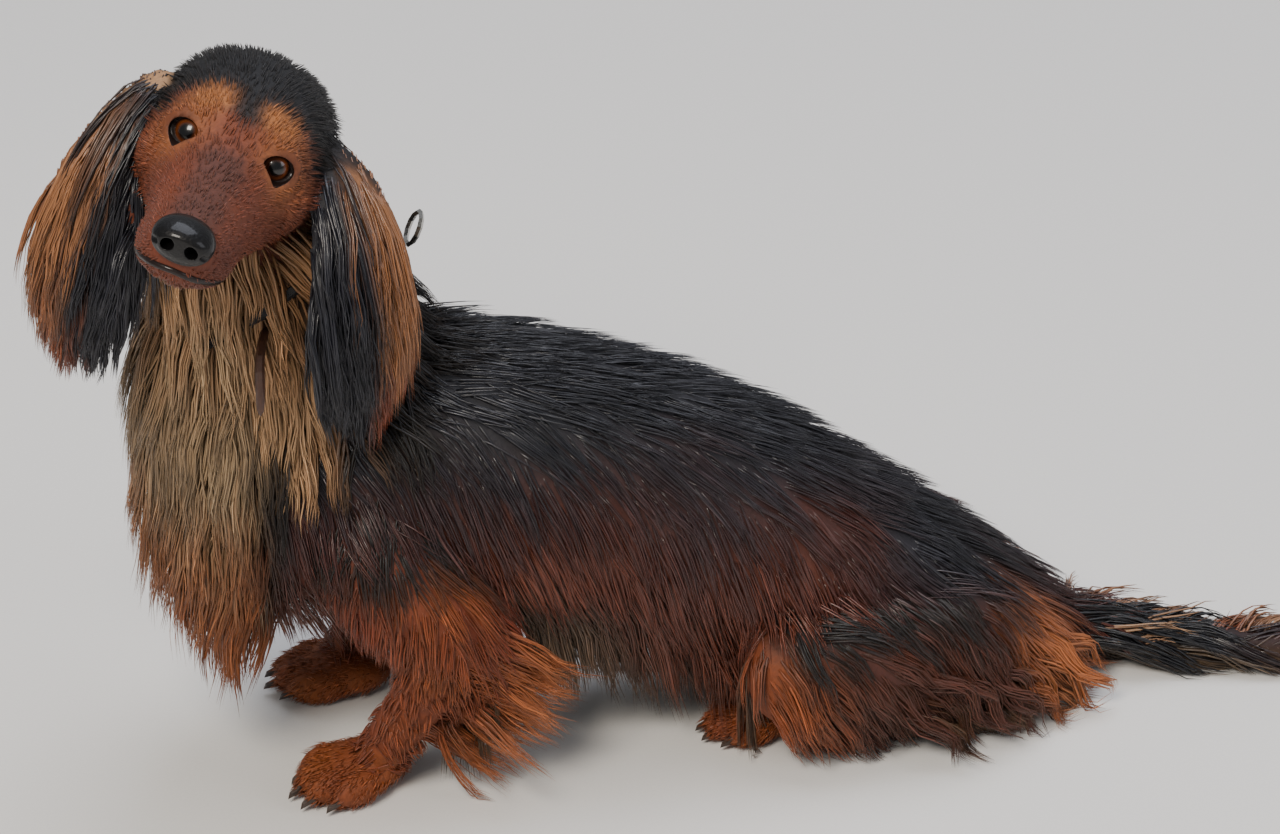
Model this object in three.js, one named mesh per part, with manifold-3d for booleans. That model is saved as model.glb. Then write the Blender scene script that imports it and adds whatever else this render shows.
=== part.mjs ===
// A long-haired dachshund, life size, sitting back on folded hind legs with its head turned to the left.
// Millimetres, +Z up. The nose end of the trunk points to -X, the tail to +X, and the dog's left side to -Y.
import * as THREE from "three";
import { mergeVertices } from "three/addons/utils/BufferGeometryUtils.js";
import Module from "manifold-3d";

const wasm = await Module();
wasm.setup();

// Driving dimensions
const GAP = 0.4; // kept between neighbouring pieces
const COAT_SEED = 20417;
const EYE_RADIUS = 10;
const EYE_SPACING = 35; // between the centres of the two eyeballs
const EYE_TURN = 16; // degrees that each eye looks outward from straight ahead
const LID_RADIUS = 1.7;
const HEAD_AT = [-43, -55, 329]; // the point midway between the eyes
const HEAD_YAW = 74;
const HEAD_PITCH = 12;
const HEAD_ROLL = 21;
const PAW_LENGTH = 50;
const PAW_WIDTH = 43;
const PAW_HEIGHT = 25;
const CLAW_LENGTH = 11;
const CLAW_RADIUS = 2.3;
const COLLAR_RADIUS = 2.6;
const RING_RADIUS = 7.5;
const RING_WIRE = 1.3;
const COAT_REACH = 0.42; // how far the forms under the long coat reach towards its tips
const LOCK_SIDES = 4;
const LOCK_RINGS = 4;

const vec = (x, y, z) => new THREE.Vector3(x, y, z);
const radians = THREE.MathUtils.degToRad;
const DOWN = vec(0, 0, -1);
const SIDES = { left: -1, right: 1 };

// A seeded draw, so that the locks vary but always in the same way.
function drawFrom(seed) {
  let state = seed;
  return () => {
    state = (state + 0x6d2b79f5) | 0;
    let t = Math.imul(state ^ (state >>> 15), 1 | state);
    t = (t + Math.imul(t ^ (t >>> 7), 61 | t)) ^ t;
    return ((t ^ (t >>> 14)) >>> 0) / 4294967296;
  };
}
const draw = drawFrom(COAT_SEED);
const between = (low, high) => low + (high - low) * draw();

function solidOf(geometry, tolerance = 1e-4) {
  geometry.deleteAttribute("normal");
  geometry.deleteAttribute("uv");
  const merged = mergeVertices(geometry, tolerance);
  return new wasm.Manifold(
    new wasm.Mesh({
      numProp: 3,
      vertProperties: new Float32Array(merged.attributes.position.array),
      triVerts: new Uint32Array(merged.index.array),
    }),
  );
}

// A rounded form along a bent line. Each station is [x, y, z, half width, half height up, half height down].
class Form {
  constructor(stations, { up = [0, 0, 1], sides = 16, rings = 16, matrix = null, round = 2, cup = 0 } = {}) {
    this.line = new THREE.CatmullRomCurve3(stations.map((s) => vec(s[0], s[1], s[2])));
    this.sizes = new THREE.CatmullRomCurve3(stations.map((s) => vec(s[3], s[4], s[5] ?? s[4])));
    Object.assign(this, { up: vec(...up), sides, rings, matrix, round, cup });
  }

  frame(t) {
    const along = this.line.getTangent(t);
    const across = this.up.clone().cross(along).normalize();
    return { at: this.line.getPoint(t), along, across, top: along.clone().cross(across) };
  }

  // The point at t along the form and at an angle round it: 0 is across, 90 degrees is the top.
  point(t, angle, grow = 0, cap = 1) {
    const { at, across, top } = this.frame(t);
    const size = this.sizes.getPoint(t);
    const [c, s] = [Math.cos(angle), Math.sin(angle)];
    const power = 2 / this.round;
    const wide = (size.x + grow) * Math.sign(c) * Math.abs(c) ** power * cap;
    const high = ((s > 0 ? size.y : size.z) + grow) * Math.sign(s) * Math.abs(s) ** power * cap;
    const bent = high - this.cup * (wide / (size.x + grow)) ** 2;
    return at.addScaledVector(across, wide).addScaledVector(top, bent);
  }

  // A point on the skin, the way out of it and the way along it, in the part's frame.
  spot(t, degrees) {
    const angle = radians(degrees);
    const step = 0.02;
    const at = this.point(t, angle);
    const round = this.point(t, angle + step).sub(this.point(t, angle - step));
    const along = this.point(Math.min(t + step, 1), angle).sub(this.point(Math.max(t - step, 0), angle));
    const out = along.clone().cross(round).normalize().negate();
    if (out.dot(at.clone().sub(this.line.getPoint(t))) < 0) out.negate();
    along.normalize();
    if (this.matrix) {
      at.applyMatrix4(this.matrix);
      out.transformDirection(this.matrix);
      along.transformDirection(this.matrix);
    }
    return { at, out, along };
  }

  solid(grow = 0) {
    const geometry = new THREE.SphereGeometry(1, this.sides, this.rings);
    const place = geometry.attributes.position;
    const uv = geometry.attributes.uv;
    const bluntness = 0.1;
    for (let i = 0; i < place.count; i++) {
      const share = 1 - uv.getY(i);
      const eased = 0.5 - 0.5 * Math.cos(Math.PI * share);
      const t = THREE.MathUtils.lerp(share, eased, 0.55);
      const fromEnd = Math.min(t, 1 - t, bluntness) / bluntness;
      const cap = Math.sqrt(Math.max(0, 1 - (1 - fromEnd) ** 2));
      const p = this.point(t, Math.PI - 2 * Math.PI * uv.getX(i), grow, cap);
      if (share < 1e-6 || share > 1 - 1e-6) {
        p.copy(this.line.getPoint(t)).addScaledVector(this.line.getTangent(t), share < 0.5 ? -grow : grow);
      }
      place.setXYZ(i, p.x, p.y, p.z);
    }
    if (this.matrix) geometry.applyMatrix4(this.matrix);
    return solidOf(geometry);
  }

  // How far a point is outside the form, and the way out.
  clearance(p) {
    this.samples ??= Array.from({ length: 25 }, (_, i) => {
      const t = i / 24;
      const f = this.frame(t);
      f.size = this.sizes.getPoint(t);
      if (this.matrix) {
        f.at.applyMatrix4(this.matrix);
        for (const k of ["along", "across", "top"]) f[k].transformDirection(this.matrix);
      }
      return f;
    });
    let best = null;
    for (const f of this.samples) {
      const away = p.clone().sub(f.at);
      const wide = away.dot(f.across);
      const high = away.dot(f.top);
      const on = away.dot(f.along);
      const tall = high > 0 ? f.size.y : f.size.z;
      const q = Math.hypot(wide / f.size.x, high / tall, on / Math.min(f.size.x, tall));
      const gap = away.length() * (1 - 1 / Math.max(q, 1e-3));
      if (!best || gap < best.gap) best = { gap, f, wide, high, on, tall };
    }
    const { f, wide, high, on, tall } = best;
    const out = vec(0, 0, 0)
      .addScaledVector(f.across, wide / f.size.x ** 2)
      .addScaledVector(f.top, high / tall ** 2)
      .addScaledVector(f.along, on / Math.min(f.size.x, tall) ** 2)
      .normalize();
    return { gap: best.gap, out };
  }
}

// An ellipsoid with its own turn.
class Ball {
  constructor(at, radii, { turn = [0, 0, 0], sides = 12, rings = 8, matrix = null } = {}) {
    Object.assign(this, { at, radii, turn, sides, rings, matrix });
  }

  solid(grow = 0) {
    const geometry = new THREE.SphereGeometry(1, this.sides, this.rings);
    geometry.rotateX(Math.PI / 2);
    geometry.scale(...this.radii.map((r) => r + grow));
    const turn = new THREE.Euler(...this.turn.map(radians), "ZYX");
    geometry.applyMatrix4(new THREE.Matrix4().makeRotationFromEuler(turn));
    geometry.translate(...this.at);
    if (this.matrix) geometry.applyMatrix4(this.matrix);
    return solidOf(geometry);
  }
}

// A closed ring of round stock through the given points.
class Hoop {
  constructor(points, radius, { sides = 6, steps = 32, matrix = null } = {}) {
    this.line = new THREE.CatmullRomCurve3(points, true);
    Object.assign(this, { radius, sides, steps, matrix });
  }

  solid(grow = 0) {
    const geometry = new THREE.TorusGeometry(1, 0.5, this.sides, this.steps);
    const place = geometry.attributes.position;
    const uv = geometry.attributes.uv;
    const middle = this.line.getPoints(this.steps).reduce((a, b) => a.add(b), vec(0, 0, 0));
    middle.divideScalar(this.steps + 1);
    for (let i = 0; i < place.count; i++) {
      const t = uv.getX(i) % 1;
      const angle = 2 * Math.PI * uv.getY(i);
      const at = this.line.getPoint(t);
      const along = this.line.getTangent(t);
      const outward = at.clone().sub(middle);
      outward.addScaledVector(along, -outward.dot(along)).normalize();
      const side = outward.clone().cross(along).normalize();
      const r = this.radius + grow;
      at.addScaledVector(outward, r * Math.cos(angle)).addScaledVector(side, r * Math.sin(angle));
      place.setXYZ(i, at.x, at.y, at.z);
    }
    if (this.matrix) geometry.applyMatrix4(this.matrix);
    return solidOf(geometry);
  }
}

const union = (solids) => solids.reduce((a, b) => a.add(b));

// The head has its own frame: nose to -X, crown to +Z, origin midway between the eyes.
const headMatrix = new THREE.Matrix4()
  .makeRotationFromEuler(
    new THREE.Euler(radians(HEAD_ROLL), radians(HEAD_PITCH), radians(HEAD_YAW), "ZYX"),
  )
  .setPosition(...HEAD_AT);

// Trunk: from the point of the forechest to the root of the tail.
const trunk = new Form(
  [
    [-76, 0, 128, 16, 20, 22],
    [-52, 0, 132, 42, 44, 46],
    [-5, 0, 139, 57, 61, 64],
    [50, 0, 140, 64, 68, 70],
    [110, 0, 126, 66, 63, 64],
    [170, 0, 104, 63, 57, 56],
    [225, 0, 77, 60, 47, 50],
    [275, 0, 49, 56, 38, 42],
    [315, 0, 31, 44, 27, 30],
    [348, 0, 17, 22, 15, 16],
  ],
  { sides: 20, rings: 16 },
);

const neckForm = new Form(
  [
    [22, 0, 150, 40, 44],
    [-10, -2, 205, 43, 50],
    [-30, -8, 252, 39, 45],
    [-36, -14, 298, 36, 41],
    [-34, -16, 335, 30, 34],
  ],
  { up: [-1, 0, 0], sides: 16, rings: 10 },
);

const skull = new Form(
  [
    [-94, 0, -21, 11, 10, 10],
    [-80, 0, -23, 17, 16.5, 17],
    [-55, 0, -24, 19.5, 21.5, 19],
    [-30, 0, -23, 23, 26, 22],
    [-8, 0, -21, 29, 32, 27],
    [14, 0, -15, 37, 38, 33],
    [40, 0, -11, 41, 41, 35],
    [66, 0, -9, 37, 36, 31],
    [88, 0, -8, 25, 23, 22],
    [99, 0, -8, 9, 9, 9],
  ],
  { sides: 20, rings: 18, matrix: headMatrix, round: 2.2 },
);

// Brows, cheeks and the fleshy sides of the upper lip.
function faceMuscles() {
  return Object.values(SIDES).flatMap((s) => [
    new Ball([8, 17 * s, 9.5], [15, 11, 7], {
      turn: [0, 0, 18 * s], sides: 10, rings: 6, matrix: headMatrix,
    }),
    new Ball([20, 27.5 * s, -14], [24, 9, 14], {
      turn: [0, 0, -10 * s], sides: 10, rings: 6, matrix: headMatrix,
    }),
    new Ball([-58, 13.5 * s, -31], [27, 7.5, 9], {
      turn: [0, 0, 5 * s], sides: 10, rings: 6, matrix: headMatrix,
    }),
  ]);
}

function eyeFrame(s) {
  const turn = radians(EYE_TURN) * s;
  const look = vec(-Math.cos(turn), Math.sin(turn), 0.12).normalize();
  const out = vec(0, 0, 1).cross(look).normalize().multiplyScalar(-s);
  return {
    at: vec(3.5, (EYE_SPACING / 2) * s, -0.5), look, out, up: look.clone().cross(out).multiplyScalar(s),
  };
}

function eyeball(s) {
  const { at } = eyeFrame(s);
  return new Ball(at.toArray(), [EYE_RADIUS, EYE_RADIUS, EYE_RADIUS], {
    sides: 12, rings: 7, matrix: headMatrix,
  });
}

// The almond opening between the lids, as a ring of points just proud of the eyeball.
function lidLine(s, halfWidth = 9, halfHeight = 7.3, proud = 0.5) {
  const { at, look, out, up } = eyeFrame(s);
  return Array.from({ length: 12 }, (_, i) => {
    const a = (i / 12) * 2 * Math.PI;
    const wide = halfWidth * Math.cos(a);
    const high = halfHeight * Math.sin(a) * (1 - 0.1 * Math.cos(2 * a));
    const depth = Math.sqrt((EYE_RADIUS + proud) ** 2 - wide ** 2 - high ** 2);
    return at.clone().addScaledVector(out, wide).addScaledVector(up, high).addScaledVector(look, depth);
  });
}

function lidRim(s) {
  return new Hoop(lidLine(s), LID_RADIUS, { sides: 5, steps: 14, matrix: headMatrix });
}

function eyeOpening(s) {
  const { at, look, up } = eyeFrame(s);
  const centre = at.clone().addScaledVector(look, EYE_RADIUS + 1);
  const tip = centre.clone().addScaledVector(look, 8);
  const inner = at.clone().addScaledVector(look, 5);
  return new Form(
    [
      [...inner.toArray(), 7.6, 5.8],
      [...centre.toArray(), 8, 6.4],
      [...tip.toArray(), 10, 9],
    ],
    { up: up.toArray(), sides: 12, rings: 6, matrix: headMatrix },
  );
}

const nosePad = new Form(
  [
    [-101, 0, -18.5, 7, 5, 6.5],
    [-98, 0, -16.5, 12, 8, 9],
    [-91, 0, -15.5, 13, 9, 9],
    [-84, 0, -14, 11, 7, 7],
  ],
  { sides: 14, rings: 7, matrix: headMatrix },
);

function nostril(s) {
  return new Form(
    [
      [-103, 4.6 * s, -17, 2.6, 3],
      [-98, 6.2 * s, -17, 2.3, 2.7],
      [-93, 9.5 * s, -16, 1.6, 1.6],
    ],
    { sides: 6, rings: 4, matrix: headMatrix },
  );
}

// The closed mouth: a groove from one corner of the lips round under the nose to the other.
function mouthGroove() {
  const half = [
    [-12, 27.5, -37],
    [-32, 24.2, -38.5],
    [-55, 20.6, -37],
    [-75, 16.4, -33.5],
    [-87, 9, -31],
  ];
  const points = [
    ...half.map(([x, y, z]) => [x, -y, z]),
    [-91.5, 0, -30],
    ...half.map(([x, y, z]) => [x, y, z]).reverse(),
  ];
  return new Form(points.map((p) => [...p, 1.3, 1.5]), { sides: 5, rings: 18, matrix: headMatrix });
}

// Hanging ears. Each is rooted on the side of the head behind the eye. Its leather is a thin cupped flap that
// hangs straight down, so its line is given from the root in the part's own frame.
const EAR_ROOT = [28, 36, 7];
const EAR_THICKNESS = 2.4;
const EAR_LINES = {
  left: {
    offsets: [
      [-4, 6, 3, 14],
      [8, -12, -16, 22],
      [11, -22, -46, 28],
      [11, -27, -78, 28],
      [9, -29, -108, 17],
    ],
    face: [0.48, -0.87, 0.1],
  },
  right: {
    offsets: [
      [5, 5, 3, 14],
      [-18, -8, -16, 20],
      [-35, -15, -44, 26],
      [-43, -18, -75, 26],
      [-45, -20, -105, 16],
    ],
    face: [-0.53, -0.84, 0.1],
  },
};

function earRoot(name) {
  const [x, y, z] = EAR_ROOT;
  return vec(x, y * SIDES[name], z).applyMatrix4(headMatrix);
}

function earLeather(name) {
  const { offsets, face } = EAR_LINES[name];
  const root = earRoot(name);
  const hair = 1 + 0.25 * COAT_REACH;
  const thickness = EAR_THICKNESS * (1 + COAT_REACH);
  return new Form(
    offsets.map(([x, y, z, half]) => [root.x + x, root.y + y, root.z + z * hair, half * hair, thickness]),
    { up: face, sides: 12, rings: 9, cup: 7 },
  );
}
const ears = { left: earLeather("left"), right: earLeather("right") };

function foreleg(s) {
  return new Form(
    [
      [6, 40 * s, 146, 20, 28],
      [22, 54 * s, 116, 22, 31],
      [42, 61 * s, 88, 19, 26],
      [33, 57 * s, 58, 15, 18],
      [20, 50 * s, 32, 13.5, 15],
      [10, 45 * s, 15, 14, 14],
    ],
    { up: [-1, 0, 0], sides: 10, rings: 9 },
  );
}
const forelegs = { left: foreleg(SIDES.left), right: foreleg(SIDES.right) };

function hindleg(s) {
  const thigh = new Form(
    [
      [300, 34 * s, 44, 20, 24],
      [262, 48 * s, 48, 24, 31],
      [216, 56 * s, 47, 23, 31],
      [178, 57 * s, 42, 15, 23],
    ],
    { sides: 12, rings: 9 },
  );
  const foot = new Form(
    [
      [262, 42 * s, 18, 12, 15],
      [240, 37 * s, 10, 11, 12],
      [216, 33 * s, 9, 11.5, 11],
      [200, 31 * s, 9, 12, 10],
    ],
    { sides: 10, rings: 6 },
  );
  return { thigh, foot };
}
const hindlegs = { left: hindleg(SIDES.left), right: hindleg(SIDES.right) };

const tailForm = new Form(
  [
    [336, 0, 26, 15, 15],
    [366, -5, 16, 12, 12],
    [400, -13, 10, 10.5, 10.5],
    [440, -24, 8, 9, 9],
    [490, -34, 6, 7.5, 7.5],
    [535, -38, 5, 6, 6],
    [570, -36, 4, 3.5, 4.5],
  ],
  { sides: 8, rings: 12 },
);

// A paw is a pad with four toes. It stands at a point of the floor and points at an angle from -X.
const PAWS = {
  forepaw_left: { at: [3, -42], turn: 24, size: 1 },
  forepaw_right: { at: [6, 43], turn: -10, size: 1 },
  hindpaw_left: { at: [189, -31], turn: 6, size: 0.86 },
  hindpaw_right: { at: [189, 31], turn: -6, size: 0.86 },
};
const TOES = [
  { side: -0.34, ahead: 0.16 },
  { side: -0.12, ahead: 0.31 },
  { side: 0.12, ahead: 0.31 },
  { side: 0.34, ahead: 0.16 },
];

function pawMatrix({ at, turn }) {
  return new THREE.Matrix4().makeRotationZ(radians(turn)).setPosition(at[0], at[1], 0);
}

function pawForms(paw) {
  const matrix = pawMatrix(paw);
  const k = paw.size;
  const padSize = [0.5 * PAW_LENGTH * k, 0.44 * PAW_WIDTH * k, 0.6 * PAW_HEIGHT * k];
  const pad = new Ball([3 * k, 0, 0.36 * PAW_HEIGHT * k], padSize, { sides: 10, rings: 5, matrix });
  const toeSize = [14 * k, 6.6 * k, 9.4 * k];
  const toes = TOES.map(
    ({ side, ahead }) =>
      new Ball([-ahead * PAW_LENGTH * k, side * PAW_WIDTH * k, 0.26 * PAW_HEIGHT * k], toeSize, {
        sides: 6,
        rings: 4,
        matrix,
      }),
  );
  return [pad, ...toes];
}

function clawForm(paw, { side, ahead }) {
  const k = paw.size;
  const x = -(ahead * PAW_LENGTH + 11) * k;
  const y = side * PAW_WIDTH * k;
  return new Form(
    [
      [x + 4, y, 7.5 * k, CLAW_RADIUS * k, CLAW_RADIUS * k],
      [x - 0.25 * CLAW_LENGTH * k, y, 5.8 * k, CLAW_RADIUS * 0.8 * k, CLAW_RADIUS * 0.9 * k],
      [x - 0.6 * CLAW_LENGTH * k, y, 2.6 * k, 0.6 * k, 0.7 * k],
    ],
    { sides: 5, rings: 3, matrix: pawMatrix(paw) },
  );
}

// The collar lies in the coat low on the neck and higher at the nape, where its ring lies on the hair. The end
// of its strap hangs at the left of the throat.
const COLLAR_TILT = 0.09;
const RING_AT = [40, -4, 258];
const STRAP_END = [
  [-30, -42, 238, 2, 1.3],
  [-35, -60, 236, 2, 1.3],
  [-37, -70, 230, 2, 1.3],
  [-37.5, -73, 220, 2, 1.3],
  [-38, -74, 211, 1.6, 1.2],
];

function collarForm() {
  const points = Array.from({ length: 16 }, (_, i) => {
    const degrees = (i / 16) * 360;
    const t = 0.5 - COLLAR_TILT * Math.sin(radians(degrees));
    return neckForm.spot(t, degrees).at;
  });
  return new Hoop(points, COLLAR_RADIUS, { sides: 5, steps: 16 });
}

function ringForm() {
  const points = Array.from({ length: 12 }, (_, i) => {
    const angle = (i / 12) * 2 * Math.PI;
    const place = vec(0.45 * Math.cos(angle), Math.sin(angle), 0.9 * Math.cos(angle));
    return place.multiplyScalar(RING_RADIUS).add(vec(...RING_AT));
  });
  return new Hoop(points, RING_WIRE, { sides: 4, steps: 12 });
}

const strapEnd = new Form(STRAP_END, { up: [0, 0, 1], sides: 6, rings: 8 });

// The forms under the long coat, which reach from the flesh some way towards the tips of the hair.
const reach = (skin, tips) => skin + (tips - skin) * COAT_REACH;

const apronForm = new Form(
  [
    [-38, -2, 236, 34, reach(34, 52), 30],
    [-42, 0, 196, 42, reach(34, 53), 30],
    [-42, 0, 150, 48, reach(34, 53), 30],
    [-38, 0, 116, 48, reach(34, 52), 30],
    [-28, 0, 90, reach(36, 42), reach(28, 48), 30],
    [-20, 0, reach(80, 70), 22, 26, 22],
  ],
  { up: [-1, 0, 0], sides: 14, rings: 9 },
);

function fringeForm(s) {
  return new Form(
    [
      [50, 44 * s, 76, 8, 20, reach(8, 24)],
      [90, 47 * s, 70, 9, 20, reach(8, 27)],
      [130, 48 * s, 62, 9, 20, reach(8, 25)],
      [170, 46 * s, 53, 8, 16, reach(8, 20)],
    ],
    { sides: 8, rings: 7 },
  );
}

function featherForm(s) {
  return new Form(
    [
      [44, 61 * s, 96, 8, 10, reach(14, 22)],
      [42, 58 * s, 64, 9, 12, reach(14, 30)],
      [34, 50 * s, 36, 8, 12, reach(12, 38)],
      [26, 46 * s, 14, 7, 10, reach(10, 34)],
    ],
    { up: [-1, 0, 0], sides: 8, rings: 8 },
  );
}

function breechesForm(s) {
  return new Form(
    [
      [240, 50 * s, 16, 12, 16, 18],
      [272, 54 * s, 18, reach(10, 16), reach(12, 20), 20],
      [304, 46 * s, 18, reach(10, 16), reach(12, 20), 20],
      [334, 26 * s, 16, reach(10, 18), 14, 18],
    ],
    { sides: 8, rings: 7 },
  );
}

const plumeForm = new Form(
  [
    [346, 10, 7, reach(12, 30), 8, 9],
    [390, 6, 6, reach(14, 40), 7, 8],
    [440, -2, 5, reach(14, 42), 6, 7],
    [500, -20, 5, reach(12, 36), 6, 7],
    [552, -32, 4, reach(9, 25), 5, 6],
    [592, -38, 3, 8, 4, 5],
  ],
  { sides: 8, rings: 10 },
);

// What each coat of locks has to stay clear of: every form of flesh with the depth of its own coat.
const flesh = [
  { node: "torso", form: trunk, coat: 7 },
  { node: "neck", form: neckForm, coat: 12 },
  { node: "head", form: skull, coat: 3 },
  ...Object.keys(SIDES).flatMap((side) => [
    { node: `ear_${side}`, form: ears[side], coat: 6 },
    { node: `foreleg_${side}`, form: forelegs[side], coat: 5 },
    ...Object.values(hindlegs[side]).map((form) => ({ node: `hindleg_${side}`, form, coat: 5 })),
  ]),
  { node: "tail", form: tailForm, coat: 4 },
];

function keepClear(p, node, own, other) {
  for (let pass = 0; pass < 2; pass++) {
    for (const body of flesh) {
      const { gap, out } = body.form.clearance(p);
      const wanted = body.node === node ? own : body.coat + other;
      if (gap < wanted) p.addScaledVector(out, wanted - gap);
    }
    if (p.z < own) p.z = own;
  }
  return p;
}

// One tapered, flat lock. It leaves the skin at a spot, follows the lie of the coat and sinks under its weight.
function lock(node, spot, { lie, length, width, thick = 3, droop = 0.5, lift = 2, wave = 0, sink = 4 }) {
  const steps = 5;
  const p = spot.at.clone().addScaledVector(spot.out, 0.2);
  const way = lie.clone().normalize();
  const side = way.clone().cross(spot.out).normalize();
  const points = [spot.at.clone().addScaledVector(spot.out, -sink).addScaledVector(way, -sink)];
  const phase = between(0, Math.PI);
  for (let i = 0; i < steps; i++) {
    points.push(p.clone());
    const share = (i + 1) / steps;
    const heading = way
      .clone()
      .multiplyScalar(1 - droop * share)
      .addScaledVector(DOWN, droop * share)
      .addScaledVector(side, wave * Math.sin(phase + share * 4))
      .normalize();
    p.addScaledVector(heading, length / steps);
    keepClear(p, node, thick * 0.55 + lift * share, thick * 0.6 + 1);
  }
  points.push(p.clone());
  const shape = [0.4, 0.75, 1, 0.95, 0.75, 0.45, 0.06];
  const flat = shape.map((share) => Math.min(1, share + 0.15));
  return new Form(
    points.map((q, i) => [q.x, q.y, q.z, (width / 2) * shape[i], (thick / 2) * flat[i]]),
    { up: spot.out.toArray(), sides: LOCK_SIDES, rings: LOCK_RINGS },
  );
}

const coats = {};

// A row of locks on a form, from one place on it to another. Where it isn't given a lie of its own, it hangs.
function row(
  node, form, count, { t, angle, lie = [0, 0, -1], length, width, thick = 4, jitter = 0.3, ...style },
) {
  coats[node] ??= [];
  for (let i = 0; i < count; i++) {
    const share = count > 1 ? (i + between(-jitter, jitter)) / (count - 1) : 0.5;
    const spot = form.spot(
      THREE.MathUtils.clamp(THREE.MathUtils.lerp(t[0], t[1], share), 0.01, 0.99),
      THREE.MathUtils.lerp(angle[0], angle[1], share),
    );
    const size = between(0.88, 1.14);
    coats[node].push(
      lock(node, spot, {
        lie: vec(...lie).addScaledVector(spot.out, 0.12),
        length: length * size,
        width: width * between(0.85, 1.15),
        thick,
        ...style,
      }),
    );
  }
}

// The ruff round the neck, in rows from under the jaw down to the shoulders.
[0.78, 0.42].forEach((t, i) => {
  row("neck", neckForm, 4, {
    t: [t, t], angle: [22, 158], length: 64 + 3 * i, width: 36, thick: 6, droop: 0.8, lift: 15,
  });
  row("neck", neckForm, 2, {
    t: [t - 0.1, t - 0.1], angle: [235, 305], length: 56, width: 46, thick: 5, droop: 0.6, lift: 6,
  });
});

// The forechest and the apron that hangs between the forelegs.
[0.2, 0.5, 0.8].forEach((t, i) => {
  row("torso", apronForm, 4, {
    t: [t, t], angle: [4, 176], length: 60 - 3 * i, width: 38, thick: 6, droop: 0.9, lift: 12,
  });
});

for (const [side, s] of Object.entries(SIDES)) {
  const outward = (degrees) => (s > 0 ? degrees : 180 - degrees);
  const torsoRow = (count, t, degrees, style) => row("torso", trunk, count, {
    t, angle: degrees.map(outward), ...style,
  });

  // Flanks, combed down and back, and the fringe under the belly.
  torsoRow(3, [0.38, 0.7], [-4, -4], { lie: [0.4, 0, -1], length: 66, width: 46, droop: 0.6, lift: 4 });
  row("torso", fringeForm(s), 5, {
    t: [0.35, 0.95], angle: [outward(-50), outward(-50)], length: 36, width: 30, droop: 1,
  });

  // The croup, over the root of the tail.
  torsoRow(2, [0.88, 0.97], [58, 30], {
    lie: [1, 0.25 * s, -0.5], length: 46, width: 32, droop: 0.5, lift: 3,
  });

  // Feather behind the foreleg, and the hair of the upper arm.
  const leg = `foreleg_${side}`;
  const inner = s < 0 ? 1 : -1;
  row(leg, featherForm(s), 4, {
    t: [0.16, 0.9], angle: [270 - 15 * inner, 270 - 15 * inner], lie: [1, 0, -0.6], length: 40, width: 26,
  });
  row(leg, featherForm(s), 1, {
    t: [0.6, 0.6], angle: [270 + 35 * inner, 270 + 35 * inner], lie: [1, 0, -0.75], length: 34, width: 22,
  });

  // Thigh and breeches, which curl where they meet the floor.
  const hind = `hindleg_${side}`;
  const outerSide = s < 0 ? 0 : 180;
  const thighAngle = [outerSide - 30 * s, outerSide - 20 * s];
  row(hind, hindlegs[side].thigh, 3, {
    t: [0.12, 0.86], angle: thighAngle, lie: [0.3, 0, -1], length: 48, width: 38, lift: 3,
  });
  row(hind, breechesForm(s), 3, {
    t: [0.15, 0.95], angle: [20, 20].map(outward), lie: [1, 0.3 * s, -0.2], length: 44, width: 30, wave: 0.7,
    droop: 0.25,
  });
  row(hind, breechesForm(s), 2, {
    t: [0.6, 0.98], angle: [70, 50].map(outward), lie: [1, 0, -0.35], length: 42, width: 26, wave: 0.5,
    droop: 0.3,
  });

  // Ears: hair down the face of the leather, past its two edges and past its tip.
  const ear = `ear_${side}`;
  row(ear, ears[side], 1, {
    t: [0.4, 0.4], angle: [90, 90], length: 58, width: 30, thick: 3, lift: 1, wave: 0.25, droop: 1,
  });
  row(ear, ears[side], s < 0 ? 3 : 2, {
    t: [0.28, s < 0 ? 0.82 : 0.6], angle: [4, 4], length: 52, width: 22, thick: 3, lift: 1, wave: 0.3,
    droop: 1,
  });
  row(ear, ears[side], 3, {
    t: [0.28, 0.82], angle: [176, 176], length: 52, width: 22, thick: 3, lift: 1, wave: 0.3, droop: 1,
  });
  row(ear, ears[side], 2, {
    t: [0.93, 0.93], angle: [50, 130], length: 38, width: 22, thick: 3, lift: 0, droop: 1,
  });
}

// The plume of the tail spreads over the floor, mostly on the right.
row("tail", plumeForm, 6, {
  t: [0.06, 0.96], angle: [8, 8], lie: [1, 0.75, 0], length: 46, width: 20, thick: 3.4, droop: 0.1, lift: 0,
});
row("tail", plumeForm, 4, {
  t: [0.2, 0.98], angle: [172, 172], lie: [1, -0.45, 0], length: 38, width: 20, thick: 3.4, droop: 0.1,
  lift: 0,
});
row("tail", plumeForm, 1, {
  t: [0.5, 0.5], angle: [80, 80], lie: [1, 0.25, 0], length: 50, width: 22, thick: 3.4, droop: 0.2, lift: 1,
});

// The floor, which cuts flat what rests on it.
const floorBlock = new THREE.BoxGeometry(2000, 2000, 200);
floorBlock.translate(0, 0, -100);
const floorSolid = solidOf(floorBlock);
const ROUNDING = 1e-3;
const made = [];

function geometryOf(solid) {
  const { vertProperties, triVerts, numProp } = solid.getMesh();
  const points = [];
  for (let i = 0; i < vertProperties.length; i += numProp) {
    points.push(vertProperties[i], vertProperties[i + 1], vertProperties[i + 2]);
  }
  const geometry = new THREE.BufferGeometry();
  geometry.setAttribute("position", new THREE.Float32BufferAttribute(points, 3));
  geometry.setIndex([...triVerts]);
  return geometry;
}

function largest(solid) {
  return solid.decompose().sort((a, b) => b.volume() - a.volume())[0];
}

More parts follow.
